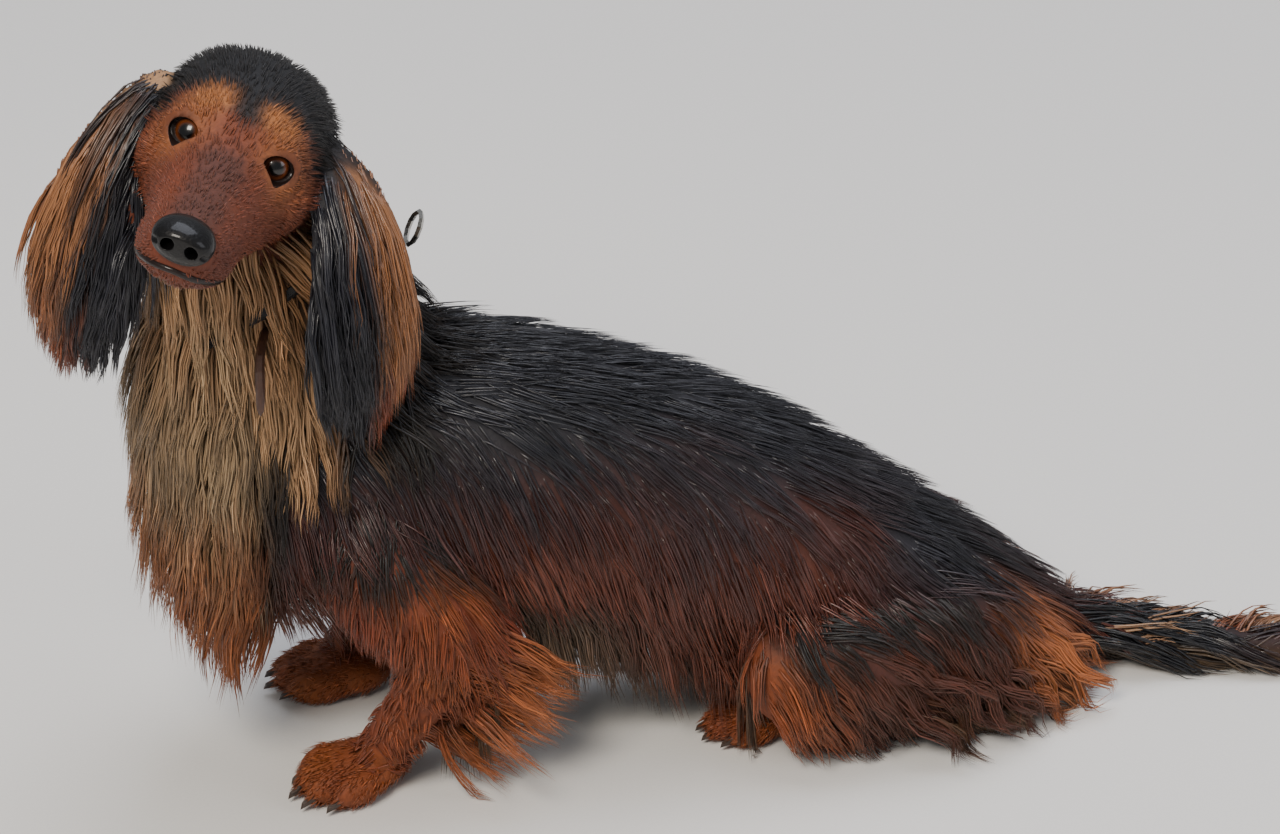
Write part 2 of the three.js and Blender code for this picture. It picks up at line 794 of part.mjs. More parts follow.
// Joins a node's forms and locks, takes out its cuts and its neighbours' grown forms, and keeps the largest.
function makeNode(name, forms, material, { cuts = [], neighbours = [] } = {}) {
  const locks = coats[name] ?? [];
  let solid = union([...forms, ...locks].map((f) => f.solid()));
  for (const cut of cuts) solid = solid.subtract(cut.solid());
  for (const other of neighbours) {
    const found = made.find((m) => m.name === other);
    solid = solid.subtract(found.blocker);
  }
  solid = solid.subtract(floorSolid);
  // Its points are rounded between two looks for the largest body: rounding can close a narrow hollow.
  const rounded = solidOf(geometryOf(largest(solid)).toNonIndexed(), ROUNDING);
  made.push({
    name, solid: largest(rounded), blocker: union([...forms, ...locks].map((f) => f.solid(GAP))), material,
  });
}

const material = (color, roughness) => new THREE.MeshStandardMaterial({ color, roughness, metalness: 0 });
const finishes = {
  black: material("#1b1a1f", 0.6),
  flank: material("#3a2420", 0.6),
  tan: material("#8a4a24", 0.65),
  face: material("#7a4630", 0.65),
  fawn: material("#8d7459", 0.7),
  nose: material("#17151a", 0.35),
  eye: material("#2b1710", 0.08),
  claw: material("#241c1a", 0.4),
  leather: material("#5a3126", 0.5),
  metal: new THREE.MeshStandardMaterial({ color: "#c9cbd0", roughness: 0.2, metalness: 1 }),
};

for (const [side, s] of Object.entries(SIDES)) {
  makeNode(`eye_${side}`, [eyeball(s)], finishes.eye);
}
makeNode("nose", [nosePad], finishes.nose, { cuts: [nostril(-1), nostril(1)] });
makeNode(
  "head",
  [skull, ...faceMuscles(), ...Object.values(SIDES).map(lidRim)],
  finishes.face,
  { cuts: [mouthGroove(), eyeOpening(-1), eyeOpening(1)], neighbours: ["eye_left", "eye_right", "nose"] },
);
for (const side of Object.keys(SIDES)) {
  makeNode(`ear_${side}`, [ears[side]], finishes.black, { neighbours: ["head"] });
}
makeNode("collar", [collarForm()], finishes.leather, { neighbours: ["head"] });
makeNode("collar_ring", [ringForm()], finishes.metal, { neighbours: ["collar"] });
makeNode("collar_end", [strapEnd], finishes.leather, { neighbours: ["collar"] });
makeNode("neck", [neckForm], finishes.fawn, {
  neighbours: ["head", "collar", "collar_ring", "collar_end", "ear_left", "ear_right"],
});

for (const [name, paw] of Object.entries(PAWS)) {
  const claws = TOES.map((_, i) => `claw_${name.replace("paw", "")}_${i + 1}`);
  TOES.forEach((toe, i) => makeNode(claws[i], [clawForm(paw, toe)], finishes.claw));
  makeNode(name, pawForms(paw), finishes.tan, { neighbours: claws });
}
for (const side of Object.keys(SIDES)) {
  const s = SIDES[side];
  makeNode(`foreleg_${side}`, [forelegs[side], featherForm(s)], finishes.tan, {
    neighbours: [`forepaw_${side}`, "neck"],
  });
  makeNode(`hindleg_${side}`, [...Object.values(hindlegs[side]), breechesForm(s)], finishes.tan, {
    neighbours: [`hindpaw_${side}`],
  });
}
makeNode("tail", [tailForm, plumeForm], finishes.black, { neighbours: ["hindleg_left", "hindleg_right"] });
makeNode("torso", [trunk, apronForm, fringeForm(-1), fringeForm(1)], finishes.flank, {
  neighbours: [
    ...[
      "neck", "collar", "collar_ring", "collar_end", "ear_left", "ear_right", "foreleg_left",
      "foreleg_right",
    ],
    ...["hindleg_left", "hindleg_right", "tail", ...Object.keys(PAWS)],
  ],
});

function meshOf({ name, solid, material: finish }) {
  const geometry = geometryOf(solid);
  geometry.computeVertexNormals();
  const mesh = new THREE.Mesh(geometry, finish);
  mesh.name = name;
  return mesh;
}

const dachshund = new THREE.Group();
for (const node of made) dachshund.add(meshOf(node));

// The part's origin is on the floor, under the middle of its bounding box.
const box = new THREE.Box3().setFromObject(dachshund);
const middle = box.getCenter(vec(0, 0, 0));
dachshund.children.forEach((mesh) => mesh.position.set(-middle.x, -middle.y, -box.min.z));

export default dachshund;
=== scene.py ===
"""The looks of a long-haired dachshund that sits back on folded hind legs with its head turned to its left.

Lengths are in millimetres in the forms below, with the nose end of the trunk to -X, the tail to +X and
the dog's left side to -Y. They turn to metres, in the frame's own place, where a mesh is made.
"""

import math

import bpy
import numpy as np
from mathutils import Euler, Matrix, Vector
from mathutils.bvhtree import BVHTree
from mathutils.kdtree import KDTree


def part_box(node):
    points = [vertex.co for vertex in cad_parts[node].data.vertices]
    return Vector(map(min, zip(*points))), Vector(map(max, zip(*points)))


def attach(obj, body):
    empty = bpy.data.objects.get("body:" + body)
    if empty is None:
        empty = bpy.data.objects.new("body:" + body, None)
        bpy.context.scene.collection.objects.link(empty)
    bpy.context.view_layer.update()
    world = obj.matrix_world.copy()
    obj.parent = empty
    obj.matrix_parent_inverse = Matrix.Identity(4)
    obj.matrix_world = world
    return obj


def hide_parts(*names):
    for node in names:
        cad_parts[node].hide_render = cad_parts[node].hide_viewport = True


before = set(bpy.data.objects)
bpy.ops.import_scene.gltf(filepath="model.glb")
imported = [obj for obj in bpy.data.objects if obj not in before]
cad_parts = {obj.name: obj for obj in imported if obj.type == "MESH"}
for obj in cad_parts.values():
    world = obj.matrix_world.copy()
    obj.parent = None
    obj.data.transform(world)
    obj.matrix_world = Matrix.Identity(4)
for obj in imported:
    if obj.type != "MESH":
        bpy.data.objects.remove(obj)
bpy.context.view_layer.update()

# Sizes in millimetres and turns in degrees
SKIN_VOXEL, NOSE_VOXEL = 2.3, 0.4
EYE_RADIUS = 10.0
EYE_AT = (3.5, 17.5, -0.5)
EYE_TURN = 16.0
# half width and half height of the fold and the rim of the lids, and how proud of the eye they stand
LID_FOLD, LID_RIM = (9.8, 7.8, 3.4), (8.1, 6.4, 0.5)
LID_FOLD_RADIUS = 2.0
HEAD_AT = (-43.0, -55.0, 329.0)
HEAD_ROLL, HEAD_PITCH, HEAD_YAW = 21.0, 12.0, 74.0
PAW_LENGTH, PAW_WIDTH, PAW_HEIGHT = 50.0, 43.0, 25.0
FLOOR_CLEARANCE = 1.2
# the width of a tuft's patch on the map of its piece, and the gap between two forms' cells there
PATCH = 0.003
CELL_GAP = 0.004
# how fast a hair turns to the lie of the coat, and the most it is drawn back to the skin in one step
GIVE = 0.35
MOST_PULL = 3.0
# the greatest phase of a wave, just under a full turn
PHASES = 6.28
# painted shade and light: the colour of a point is darkened at the root, deep in the coat's shade, and
# lighter at the tip
ROOT_SHADE, TIP_LIGHT = 0.72, 0.36
FEW = 1.0
SIDES = {"left": -1.0, "right": 1.0}

head_matrix = Matrix.Translation(HEAD_AT) @ (
    Matrix.Rotation(math.radians(HEAD_YAW), 4, "Z")
    @ Matrix.Rotation(math.radians(HEAD_PITCH), 4, "Y")
    @ Matrix.Rotation(math.radians(HEAD_ROLL), 4, "X")
)
HEAD_TURN = np.array(head_matrix.to_3x3())

eye_low, eye_high = (np.array(corner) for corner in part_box("eye_left"))
eye_centre = np.array(head_matrix @ Vector((EYE_AT[0], -EYE_AT[1], EYE_AT[2])))
SHIFT = (eye_low + eye_high) / 2 - eye_centre / 1000


# Small helpers
def metres(points):
    return np.asarray(points, float) / 1000 + SHIFT


def unit(v):
    v = np.asarray(v, float)
    return v / np.maximum(np.linalg.norm(v, axis=-1, keepdims=True), 1e-9)


def ramp(low, high, x):
    """0 below low, 1 above high, smooth between them."""
    t = np.clip((x - low) / (high - low), 0, 1)
    return t * t * (3 - 2 * t)


def mix(a, b, share):
    share = np.asarray(share)[..., None]
    return np.asarray(a) * (1 - share) + np.asarray(b) * share


def tone(code):
    """An sRGB hex value as linear red, green and blue."""
    parts = [int(code[i : i + 2], 16) / 255 for i in (1, 3, 5)]
    return tuple(c / 12.92 if c <= 0.04045 else ((c + 0.055) / 1.055) ** 2.4 for c in parts)


def to_head(p):
    """Points of the dog in the head's own frame."""
    return (np.asarray(p) - np.array(HEAD_AT)) @ HEAD_TURN


def from_head(p):
    return np.asarray(p) @ HEAD_TURN.T + np.array(HEAD_AT)


def waver(p, size, seed):
    """A smooth value from -1 to 1 that changes over about the given size."""
    rng = np.random.default_rng(seed)
    total = 0
    for _ in range(7):
        k = unit(rng.normal(size=3)) * 2 * math.pi / (size * rng.uniform(1.2, 3.0))
        total = total + np.sin(np.asarray(p) @ k + rng.uniform(0, PHASES))
    return total / 4.2


def line_through(points, per=24):
    """Points of a smooth line through the given ones."""
    p = np.asarray(points, float)
    ends = np.vstack([2 * p[0] - p[1], p, 2 * p[-1] - p[-2]])
    u = np.linspace(0, len(p) - 1, (len(p) - 1) * per + 1)
    i = np.minimum(u.astype(int), len(p) - 2)
    f = (u - i)[:, None]
    a, b, c, d = ends[i], ends[i + 1], ends[i + 2], ends[i + 3]
    return 0.5 * (2 * b + (c - a) * f + (2 * a - 5 * b + 4 * c - d) * f**2 + (3 * b - a - 3 * c + d) * f**3)


def ring_faces(rings, sides):
    """The faces of a closed shell of rings of points, with its two end points last."""
    faces = []
    for r in range(rings - 1):
        for s in range(sides):
            n = (s + 1) % sides
            faces.append((r * sides + s, r * sides + n, (r + 1) * sides + n, (r + 1) * sides + s))
    last, count = (rings - 1) * sides, rings * sides
    for s in range(sides):
        n = (s + 1) % sides
        faces.append((n, s, count))
        faces.append((last + s, last + n, count + 1))
    return faces


class Form:
    """A rounded form along a bent line.

    A station is x, y, z, half width, half height up and half height down.
    """

    def __init__(self, stations, up=(0, 0, 1), in_head=False, power=2.0, cup=0.0, inset=0.0):
        rows = [list(s) + ([s[4]] if len(s) < 6 else []) for s in stations]
        dense = line_through(rows)
        self.line = dense[:, :3]
        self.size = np.maximum(dense[:, 3:] - inset, 1.5)
        self.along = unit(np.gradient(self.line, axis=0))
        self.across = unit(np.cross(np.array(up, float), self.along))
        self.top = np.cross(self.along, self.across)
        self.in_head, self.power, self.cup = in_head, power, cup

    def point(self, t, angle, cap=1.0):
        f = np.clip(t, 0, 1) * (len(self.line) - 1)
        i = np.minimum(f.astype(int), len(self.line) - 2)
        share = f - i
        at, size = mix(self.line[i], self.line[i + 1], share), mix(self.size[i], self.size[i + 1], share)
        across, top = mix(self.across[i], self.across[i + 1], share), mix(self.top[i], self.top[i + 1], share)
        c, s = np.cos(angle), np.sin(angle)
        wide = size[..., 0] * np.sign(c) * np.abs(c) ** (2 / self.power) * cap
        high = np.where(s > 0, size[..., 1], size[..., 2]) * np.sign(s) * np.abs(s) ** (2 / self.power) * cap
        high = high - self.cup * (wide / size[..., 0]) ** 2
        p = at + across * wide[..., None] + top * high[..., None]
        return from_head(p) if self.in_head else p

    def shell(self, rings=40, sides=36):
        """A closed mesh of the form, as points and faces."""
        share = np.linspace(0, 1, rings + 2)[1:-1]
        t = share * 0.45 + 0.55 * (0.5 - 0.5 * np.cos(math.pi * share))
        edge = np.minimum(np.minimum(t, 1 - t), 0.1) / 0.1
        cap = np.sqrt(np.maximum(0, 1 - (1 - edge) ** 2))
        angles = np.linspace(0, 2 * math.pi, sides, endpoint=False)
        tt, aa = np.meshgrid(t, angles, indexing="ij")
        body = self.point(tt, aa, np.repeat(cap[:, None], sides, 1)).reshape(-1, 3)
        ends = self.point(np.array([0.0, 1.0]), np.zeros(2), 0.0)
        return np.vstack([body, ends]), ring_faces(rings, sides)


class Ball:
    """An ellipsoid in the head's frame or in one given by a matrix, turned about its own Z."""

    def __init__(self, at, radii, turn=0.0, matrix=None):
        self.at, self.radii, self.turn = np.array(at, float), np.array(radii, float), math.radians(turn)
        self.matrix = matrix if matrix is not None else head_matrix

    def place(self, p):
        p = p * self.radii
        c, s = math.cos(self.turn), math.sin(self.turn)
        p = p @ np.array([[c, s, 0], [-s, c, 0], [0, 0, 1]]) + self.at
        m = np.array(self.matrix)
        return p @ m[:3, :3].T + m[:3, 3]

    def shell(self, rings=16, sides=24):
        lift = np.linspace(-math.pi / 2, math.pi / 2, rings + 2)[1:-1]
        angles = np.linspace(0, 2 * math.pi, sides, endpoint=False)
        ll, aa = np.meshgrid(lift, angles, indexing="ij")
        p = np.stack([np.cos(ll) * np.cos(aa), np.cos(ll) * np.sin(aa), np.sin(ll)], -1).reshape(-1, 3)
        return self.place(np.vstack([p, [[0, 0, -1], [0, 0, 1]]])), ring_faces(rings, sides)


def hoop(points, radius, sides=10, closed=True):
    """A ring or an open length of round stock through the given points, as points and faces."""
    p = np.asarray(points, float)
    n = len(p)
    along = unit(np.roll(p, -1, 0) - np.roll(p, 1, 0)) if closed else unit(np.gradient(p, axis=0))
    outward = p - p.mean(0)
    outward = unit(outward - along * np.sum(outward * along, -1, keepdims=True))
    side = np.cross(outward, along)
    radius = np.broadcast_to(radius, n)[:, None]
    angles = np.linspace(0, 2 * math.pi, sides, endpoint=False)
    rings = [p + outward * radius * math.cos(a) + side * radius * math.sin(a) for a in angles]
    body = np.stack(rings, 1).reshape(-1, 3)
    faces = []
    for r in range(n if closed else n - 1):
        q = (r + 1) % n
        for s in range(sides):
            m = (s + 1) % sides
            faces.append((r * sides + s, r * sides + m, q * sides + m, q * sides + s))
    if not closed:
        faces.append(tuple(range(sides - 1, -1, -1)))
        faces.append(tuple((n - 1) * sides + s for s in range(sides)))
    return body, faces


def join(shells):
    points, faces, start = [], [], 0
    for p, f in shells:
        points.append(p)
        faces += [tuple(i + start for i in face) for face in f]
        start += len(p)
    return np.vstack(points), faces


def make_mesh(name, points, faces):
    """An object in the frame's place from points in millimetres."""
    mesh = bpy.data.meshes.new(name)
    mesh.from_pydata(metres(points).tolist(), [], faces)
    mesh.update()
    mesh.shade_smooth()
    made = bpy.data.objects.new(name, mesh)
    bpy.context.scene.collection.objects.link(made)
    return made


def settle(made):
    """Applies an object's modifiers to its mesh."""
    graph = bpy.context.evaluated_depsgraph_get()
    mesh = bpy.data.meshes.new_from_object(made.evaluated_get(graph))
    made.modifiers.clear()
    made.data = mesh
    mesh.shade_smooth()
    return made


def fuse(made, voxel):
    """Fuses the shells of an object into one, and rounds the joins."""
    remesh = made.modifiers.new("voxels", "REMESH")
    remesh.mode, remesh.voxel_size = "VOXEL", voxel / 1000
    soften = made.modifiers.new("soften", "SMOOTH")
    soften.factor, soften.iterations = 0.5, 4
    settle(made)


def cut_with(made, tool):
    cut = made.modifiers.new(tool.name, "BOOLEAN")
    cut.operation, cut.solver, cut.object = "DIFFERENCE", "EXACT", tool
    return cut


def finish_with(made, material):
    made.data.materials.clear()
    made.data.materials.append(material)


def points_of(made):
    co = np.empty(len(made.data.vertices) * 3)
    made.data.vertices.foreach_get("co", co)
    return (co.reshape(-1, 3) - SHIFT) * 1000


def move_points(made, points):
    made.data.vertices.foreach_set("co", metres(points).ravel())
    made.data.update()


def paint(made, name, values):
    """A colour for each point, kept in a named attribute."""
    layer = made.data.attributes.new(name, "FLOAT_COLOR", "POINT")
    layer.data.foreach_set("color", np.hstack([values, np.ones((len(values), 1))]).ravel())


def ride(made, slot, *nodes):
    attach(made, "root")
    if nodes:
        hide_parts(*nodes)
    return made


# The flesh under the coat
TRUNK = [
    (-76, 0, 128, 16, 20, 22),
    (-52, 0, 132, 42, 44, 46),
    (-5, 0, 139, 57, 61, 64),
    (50, 0, 140, 64, 68, 70),
    (110, 0, 126, 66, 63, 64),
    (170, 0, 104, 63, 57, 56),
    (225, 0, 77, 60, 47, 50),
    (275, 0, 49, 56, 38, 42),
    (315, 0, 31, 44, 27, 28),
    (348, 0, 19, 22, 15, 15),
]
NECK = [
    (22, 0, 150, 40, 44),
    (-10, -2, 205, 43, 50),
    (-30, -8, 252, 39, 45),
    (-36, -14, 298, 36, 41),
    (-34, -16, 335, 30, 34),
]
SKULL = [
    (-94, 0, -21, 11, 10, 10),
    (-80, 0, -23, 17, 16.5, 17),
    (-55, 0, -24, 19.5, 21.5, 19),
    (-30, 0, -23, 23, 26, 22),
    (-8, 0, -21, 29, 32, 27),
    (14, 0, -15, 37, 38, 33),
    (40, 0, -11, 41, 41, 35),
    (66, 0, -9, 37, 36, 31),
    (88, 0, -8, 25, 23, 22),
    (99, 0, -8, 9, 9, 9),
]
APRON = [
    (-36, -2, 236, 34, 36, 28),
    (-40, 0, 196, 42, 39, 28),
    (-40, 0, 150, 46, 39, 28),
    (-36, 0, 116, 43, 35, 28),
    (-27, 0, 94, 34, 24, 26),
]
TAIL = [
    (336, 0, 26, 15, 15),
    (366, -5, 17, 12, 12),
    (400, -13, 13, 9, 9),
    (440, -24, 11, 7.5, 7.5),
    (490, -34, 10, 6, 6),
    (535, -38, 8, 4.5, 4.5),
    (566, -36, 7, 3, 3),
]
EAR_ROOT = (28, 36, 7)
EAR_LINES = {
    "left": (
        [(-4, 6, 3, 14), (8, -12, -16, 22), (11, -22, -46, 28), (11, -27, -78, 28), (9, -29, -108, 17)],
        (0.48, -0.87, 0.1)
    ),
    "right": (
        [(5, 5, 3, 14), (-18, -8, -16, 20), (-35, -15, -44, 26), (-43, -18, -75, 26), (-45, -20, -105, 16)],
        (-0.53, -0.84, 0.1)
    ),
}
PAWS = {
    "forepaw_left": ((3, -42), 24, 1.0),
    "forepaw_right": ((6, 43), -10, 1.0),
    "hindpaw_left": ((189, -31), 6, 0.86),
    "hindpaw_right": ((189, 31), -6, 0.86),
}
TOES = [(-0.34, 0.16), (-0.12, 0.31), (0.12, 0.31), (0.34, 0.16)]


def ear_root(name):
    return from_head(np.array([EAR_ROOT[0], EAR_ROOT[1] * SIDES[name], EAR_ROOT[2]]))


def ear_form(name, inset=0.0):
    offsets, face = EAR_LINES[name]
    root = ear_root(name)
    rows = [
        (root[0] + x, root[1] + y, root[2] + z * 0.95, half * 0.94 - inset, 2.6, 2.6) for x, y, z,
        half in offsets
    ]
    return Form(rows, up=face, cup=7)


def foreleg_form(s, inset=0.0):
    rows = [
        (6, 40 * s, 146, 20, 28),
        (22, 54 * s, 116, 22, 31),
        (42, 61 * s, 88, 19, 26),
        (33, 57 * s, 58, 15, 18),
        (20, 50 * s, 32, 13.5, 15),
        (10, 45 * s, 16, 13, 13),
    ]
    return Form(rows, up=(-1, 0, 0), inset=inset)


def thigh_form(s, inset=0.0):
    rows = [
        (300, 34 * s, 44, 20, 24), (262, 48 * s, 48, 24, 31), (216, 56 * s, 47, 23, 31),
        (178, 57 * s, 42, 15, 23)
    ]
    return Form(rows, inset=inset)


def hindfoot_form(s):
    return Form(
        [
            (262, 42 * s, 18, 10, 13), (240, 37 * s, 13, 9, 11), (216, 33 * s, 11, 9, 9),
            (200, 31 * s, 10, 10, 9)
        ]
    )


def paw_matrix(at, turn):
    return Matrix.Translation((at[0], at[1], 0)) @ Matrix.Rotation(math.radians(turn), 4, "Z")


def paw_balls(name):
    at, turn, k = PAWS[name]
    matrix = paw_matrix(at, turn)
    pad = Ball(
        (3 * k, 0, 0.42 * PAW_HEIGHT * k),
        (0.47 * PAW_LENGTH * k, 0.41 * PAW_WIDTH * k, 0.40 * PAW_HEIGHT * k), 0, matrix
    )
    toes = [
        Ball(
            (-ahead * PAW_LENGTH * k, side * PAW_WIDTH * k, 0.36 * PAW_HEIGHT * k),
            (13 * k, 5.6 * k, 8.4 * k), 0, matrix
        ) for side,
        ahead in TOES
    ]
    return [pad] + toes


forms = {
    "trunk": Form(TRUNK, inset=3.5),
    "neck": Form(NECK, up=(-1, 0, 0), inset=2.5),
    "apron": Form(APRON, up=(-1, 0, 0)),
    "skull": Form(SKULL, in_head=True, power=2.2, inset=1.2),
    "tail": Form(TAIL, inset=1.5),
}
for name, s in SIDES.items():
    forms["ear_" + name] = ear_form(name, 2.0)
    forms["foreleg_" + name] = foreleg_form(s, 3.0)
    forms["thigh_" + name] = thigh_form(s, 3.0)
    forms["hindfoot_" + name] = hindfoot_form(s)
for name in PAWS:
    for i, ball in enumerate(paw_balls(name)):
        forms[f"{name}_{i}"] = ball
for name, s in SIDES.items():
    forms["brow_" + name] = Ball((8, 17 * s, 8.5), (15, 11, 7), 18 * s)
    forms["cheek_" + name] = Ball((20, 27.5 * s, -15), (24, 8.5, 14), -10 * s)
    forms["flew_" + name] = Ball((-58, 13 * s, -30.5), (27, 7.2, 8.6), 5 * s)


def eye_axes(s):
    turn = math.radians(EYE_TURN) * s
    look = unit(np.array([-math.cos(turn), math.sin(turn), 0.12]))
    out = unit(np.cross([0, 0, 1], look)) * -s
    return np.array([EYE_AT[0], EYE_AT[1] * s, EYE_AT[2]]), look, out, np.cross(look, out) * s


def lid_ring(s, half_width, half_height, proud, count=40):
    at, look, out, up = eye_axes(s)
    a = np.linspace(0, 2 * math.pi, count, endpoint=False)
    wide, high = half_width * np.cos(a), half_height * np.sin(a) * (1 - 0.1 * np.cos(2 * a))
    depth = np.sqrt((EYE_RADIUS + proud) ** 2 - wide**2 - high**2)
    return from_head(at + out * wide[:, None] + up * high[:, None] + look * depth[:, None])


def make_skin():
    """One closed skin over the whole dog, with the folds of the lids round the eyes."""
    shells = [form.shell() for form in forms.values()]
    shells += [hoop(lid_ring(s, *LID_FOLD), LID_FOLD_RADIUS) for s in SIDES.values()]
    skin = make_mesh("skin", *join(shells))
    fuse(skin, SKIN_VOXEL)
    p = points_of(skin)
    p[:, 2] = np.maximum(p[:, 2], 0.3)
    move_points(skin, p)
    return skin


skin = make_skin()
skin_tree = BVHTree.FromPolygons(points_of(skin).tolist(), [tuple(f.vertices) for f in skin.data.polygons])


def nearest_skin(p):
    """For each point the nearest one on the skin, the way out there, and how far outside the point is."""
    places, ways = np.empty_like(p), np.empty_like(p)
    find = skin_tree.find_nearest
    for i, q in enumerate(p.tolist()):
        at, way, _, _ = find(q)
        places[i], ways[i] = at, way
    return places, ways, np.sum((p - places) * ways, -1)


# Colours of the coat
BLACK = tone("#0f0e11")
# painted sheen: a blue-grey mixed into the black hair stands for the light shining on it
SHEEN_SLATE = tone("#25252c")
MAHOGANY = tone("#46221a")
AUBURN = tone("#7d3c20")
ORANGE = tone("#934e1e")
FAWN = tone("#ad9270")
OLIVE = tone("#6a553e")
FACE_BROWN = tone("#6b321d")
BROW_TAN = tone("#ab6a38")
BRIDGE_BROWN = tone("#4e2c22")
SAND = tone("#b0916a")
EAR_FAWN = tone("#956440")
CHESTNUT = tone("#6a2812")
FEATHER_TAN = tone("#b0683c")


def near_ear(h):
    """1 where the long hair of an ear starts on the side of the head, and 0 away from it."""
    beside = h * [1, 0, 1] + np.stack(
        [0 * h[:, 0], np.abs(h[:, 1]), 0 * h[:, 0]], -1
    ) - np.array([30, 36, 10])
    return np.exp(-((np.linalg.norm(beside / [18, 14, 16], axis=1)) ** 2))


def head_colours(p):
    """Black crown and back of the head, brown face, tan over the eyes and a dark bridge of the muzzle."""
    h = to_head(p)
    x, y, z = h[:, 0], np.abs(h[:, 1]), h[:, 2]
    uneven = waver(p, 16, 3)
    c = mix(FACE_BROWN, AUBURN, 0.5 + 0.5 * waver(p, 24, 4))
    bridge = ramp(-14, -30, x) * ramp(-22, -10, z) * ramp(15, 6, y)
    c = mix(c, BRIDGE_BROWN, bridge * 0.75)
    muzzle_side = ramp(-20, -45, x) * ramp(-12, -24, z)
    c = mix(c, FACE_BROWN, muzzle_side * 0.7)
    chin = ramp(-36, -42, z)
    c = mix(c, SAND, chin * ramp(0, -40, x) * 0.6)
    # painted shade: darker low at the back of the jaw, under the head
    c = mix(c, BLACK, ramp(-34, -40, z) * ramp(-4, 10, x) * 0.3)
    peak = 3 + 0.9 * y
    crown = ramp(-4, 6, x + 16 - peak + 4 * uneven) * ramp(-4, 6, z)
    c = mix(c, BLACK, crown)
    behind_eye = ramp(22, 34, x + 3 * uneven) * ramp(-26, -12, z)
    c = mix(c, BLACK, behind_eye)
    c = mix(c, BLACK, ramp(46, 62, x + 3 * uneven))
    around = np.exp(-(((x + 4) / 15) ** 2 + ((y - 19) / 13) ** 2 + ((z + 2) / 14) ** 2))
    c = mix(c, BROW_TAN, around * 0.8)
    patch = np.exp(-(((x - 2) / 8) ** 2 + ((y - 15) / 8.5) ** 2) ** 1.5) * ramp(4, 9, z)
    c = mix(c, BROW_TAN, np.clip(patch * 1.3, 0, 1))
    return mix(c, BLACK, np.clip(3.2 * near_ear(h), 0, 1))


def ear_colours(p, name):
    """Black with painted sheen on the front half, fawn turning to auburn on the outer half."""
    offsets, root = EAR_LINES[name][0], ear_root(name)
    uneven = 4 * waver(p, 26, 11)
    below = p[:, 2] - root[2]
    middle = np.interp(-below, [-o[2] for o in offsets], [o[0] for o in offsets])
    outward = (p[:, 0] - root[0] - middle) * -SIDES[name]
    outer = ramp(-3, 7, outward + uneven) * ramp(8, -14, below)
    copper = mix(EAR_FAWN, AUBURN, ramp(-30, -95, below + 3 * uneven))
    # painted sheen: the black front of the ear is lightened towards blue-grey
    return mix(mix(BLACK, SHEEN_SLATE, np.clip(0.6 + 0.3 * waver(p, 30, 13), 0, 1)), copper, outer)


def neck_colours(p):
    """Fawn and grey-brown at the throat with a darker middle, black at the nape and the far side."""
    x, y, z = p.T
    uneven = 10 * waver(p, 35, 21)
    middle = ramp(22, 6, np.abs(y + 10 + 0.4 * uneven)) * ramp(292, 268, z)
    c = mix(FAWN, BROW_TAN, np.clip(0.45 + 0.5 * waver(p, 40, 22), 0, 1) * 0.7)
    c = mix(c, OLIVE, middle * 0.75)
    c = mix(c, BLACK, ramp(-26, 4, x + uneven))
    return mix(c, BLACK, ramp(10, 30, y + 0.5 * uneven))


def chest_colours(p):
    """Fawn above, grey-brown in the middle and orange-tan low on the chest."""
    x, y, z = p.T
    uneven = 12 * waver(p, 40, 31)
    c = mix(FAWN, BROW_TAN, ramp(190, 250, z + uneven) * 0.5)
    c = mix(c, OLIVE, np.clip(0.6 + 0.4 * waver(p, 46, 32), 0, 1) * ramp(262, 200, z + uneven))
    c = mix(c, ORANGE, ramp(150, 112, z + uneven))
    shoulder = ramp(-52, -24, x + uneven * 0.6) * ramp(92, 118, z)
    far = ramp(22, 42, y + 0.5 * uneven) * ramp(130, 165, z)
    return mix(c, BLACK, np.maximum(shoulder, far))


def trunk_colours(p):
    """Black with painted sheen over the back, mahogany low on the flank and grey-olive at the fringe."""
    x, y, z = p.T
    uneven = 12 * waver(p, 50, 41)
    height = np.interp(x, [-76, 50, 170, 275, 348], [134, 154, 118, 60, 24])
    low = height - z + uneven
    # painted sheen: the black of the back is lightened towards blue-grey
    c = mix(BLACK, SHEEN_SLATE, np.clip(0.6 + 0.35 * waver(p, 60, 42), 0, 1))
    streaks = ramp(0.35, 0.9, waver(p * [0.5, 1, 1], 26, 43)) * ramp(-52, -20, low)
    c = mix(c, MAHOGANY, np.clip(ramp(-40, 4, low) * 0.95 + streaks * 0.6, 0, 1))
    c = mix(c, AUBURN, ramp(-6, 22, low) * ramp(60, 40, low) * np.clip(0.5 + 0.4 * waver(p, 44, 44), 0, 1))
    c = mix(c, OLIVE, ramp(38, 70, low) * 0.85)
    c = mix(c, chest_colours(p), ramp(-20, -46, x))
    rump = ramp(262, 300, x) * ramp(20, 44, np.abs(y) + uneven)
    c = mix(c, AUBURN, rump * 0.45)
    swirl = ramp(284, 304, x + 0.4 * uneven) * ramp(14, 30, np.abs(y)) * ramp(78, 60, z)
    return mix(c, FEATHER_TAN, swirl * 0.75)


def foreleg_colours(p):
    x, y, z = p.T
    c = mix(ORANGE, AUBURN, np.clip(0.65 + 0.4 * waver(p, 26, 51), 0, 1))
    c = mix(c, CHESTNUT, np.clip(0.55 + 0.5 * waver(p, 34, 53), 0, 1))
    return mix(c, BLACK, ramp(114, 138, z + 9 * waver(p, 30, 52)))


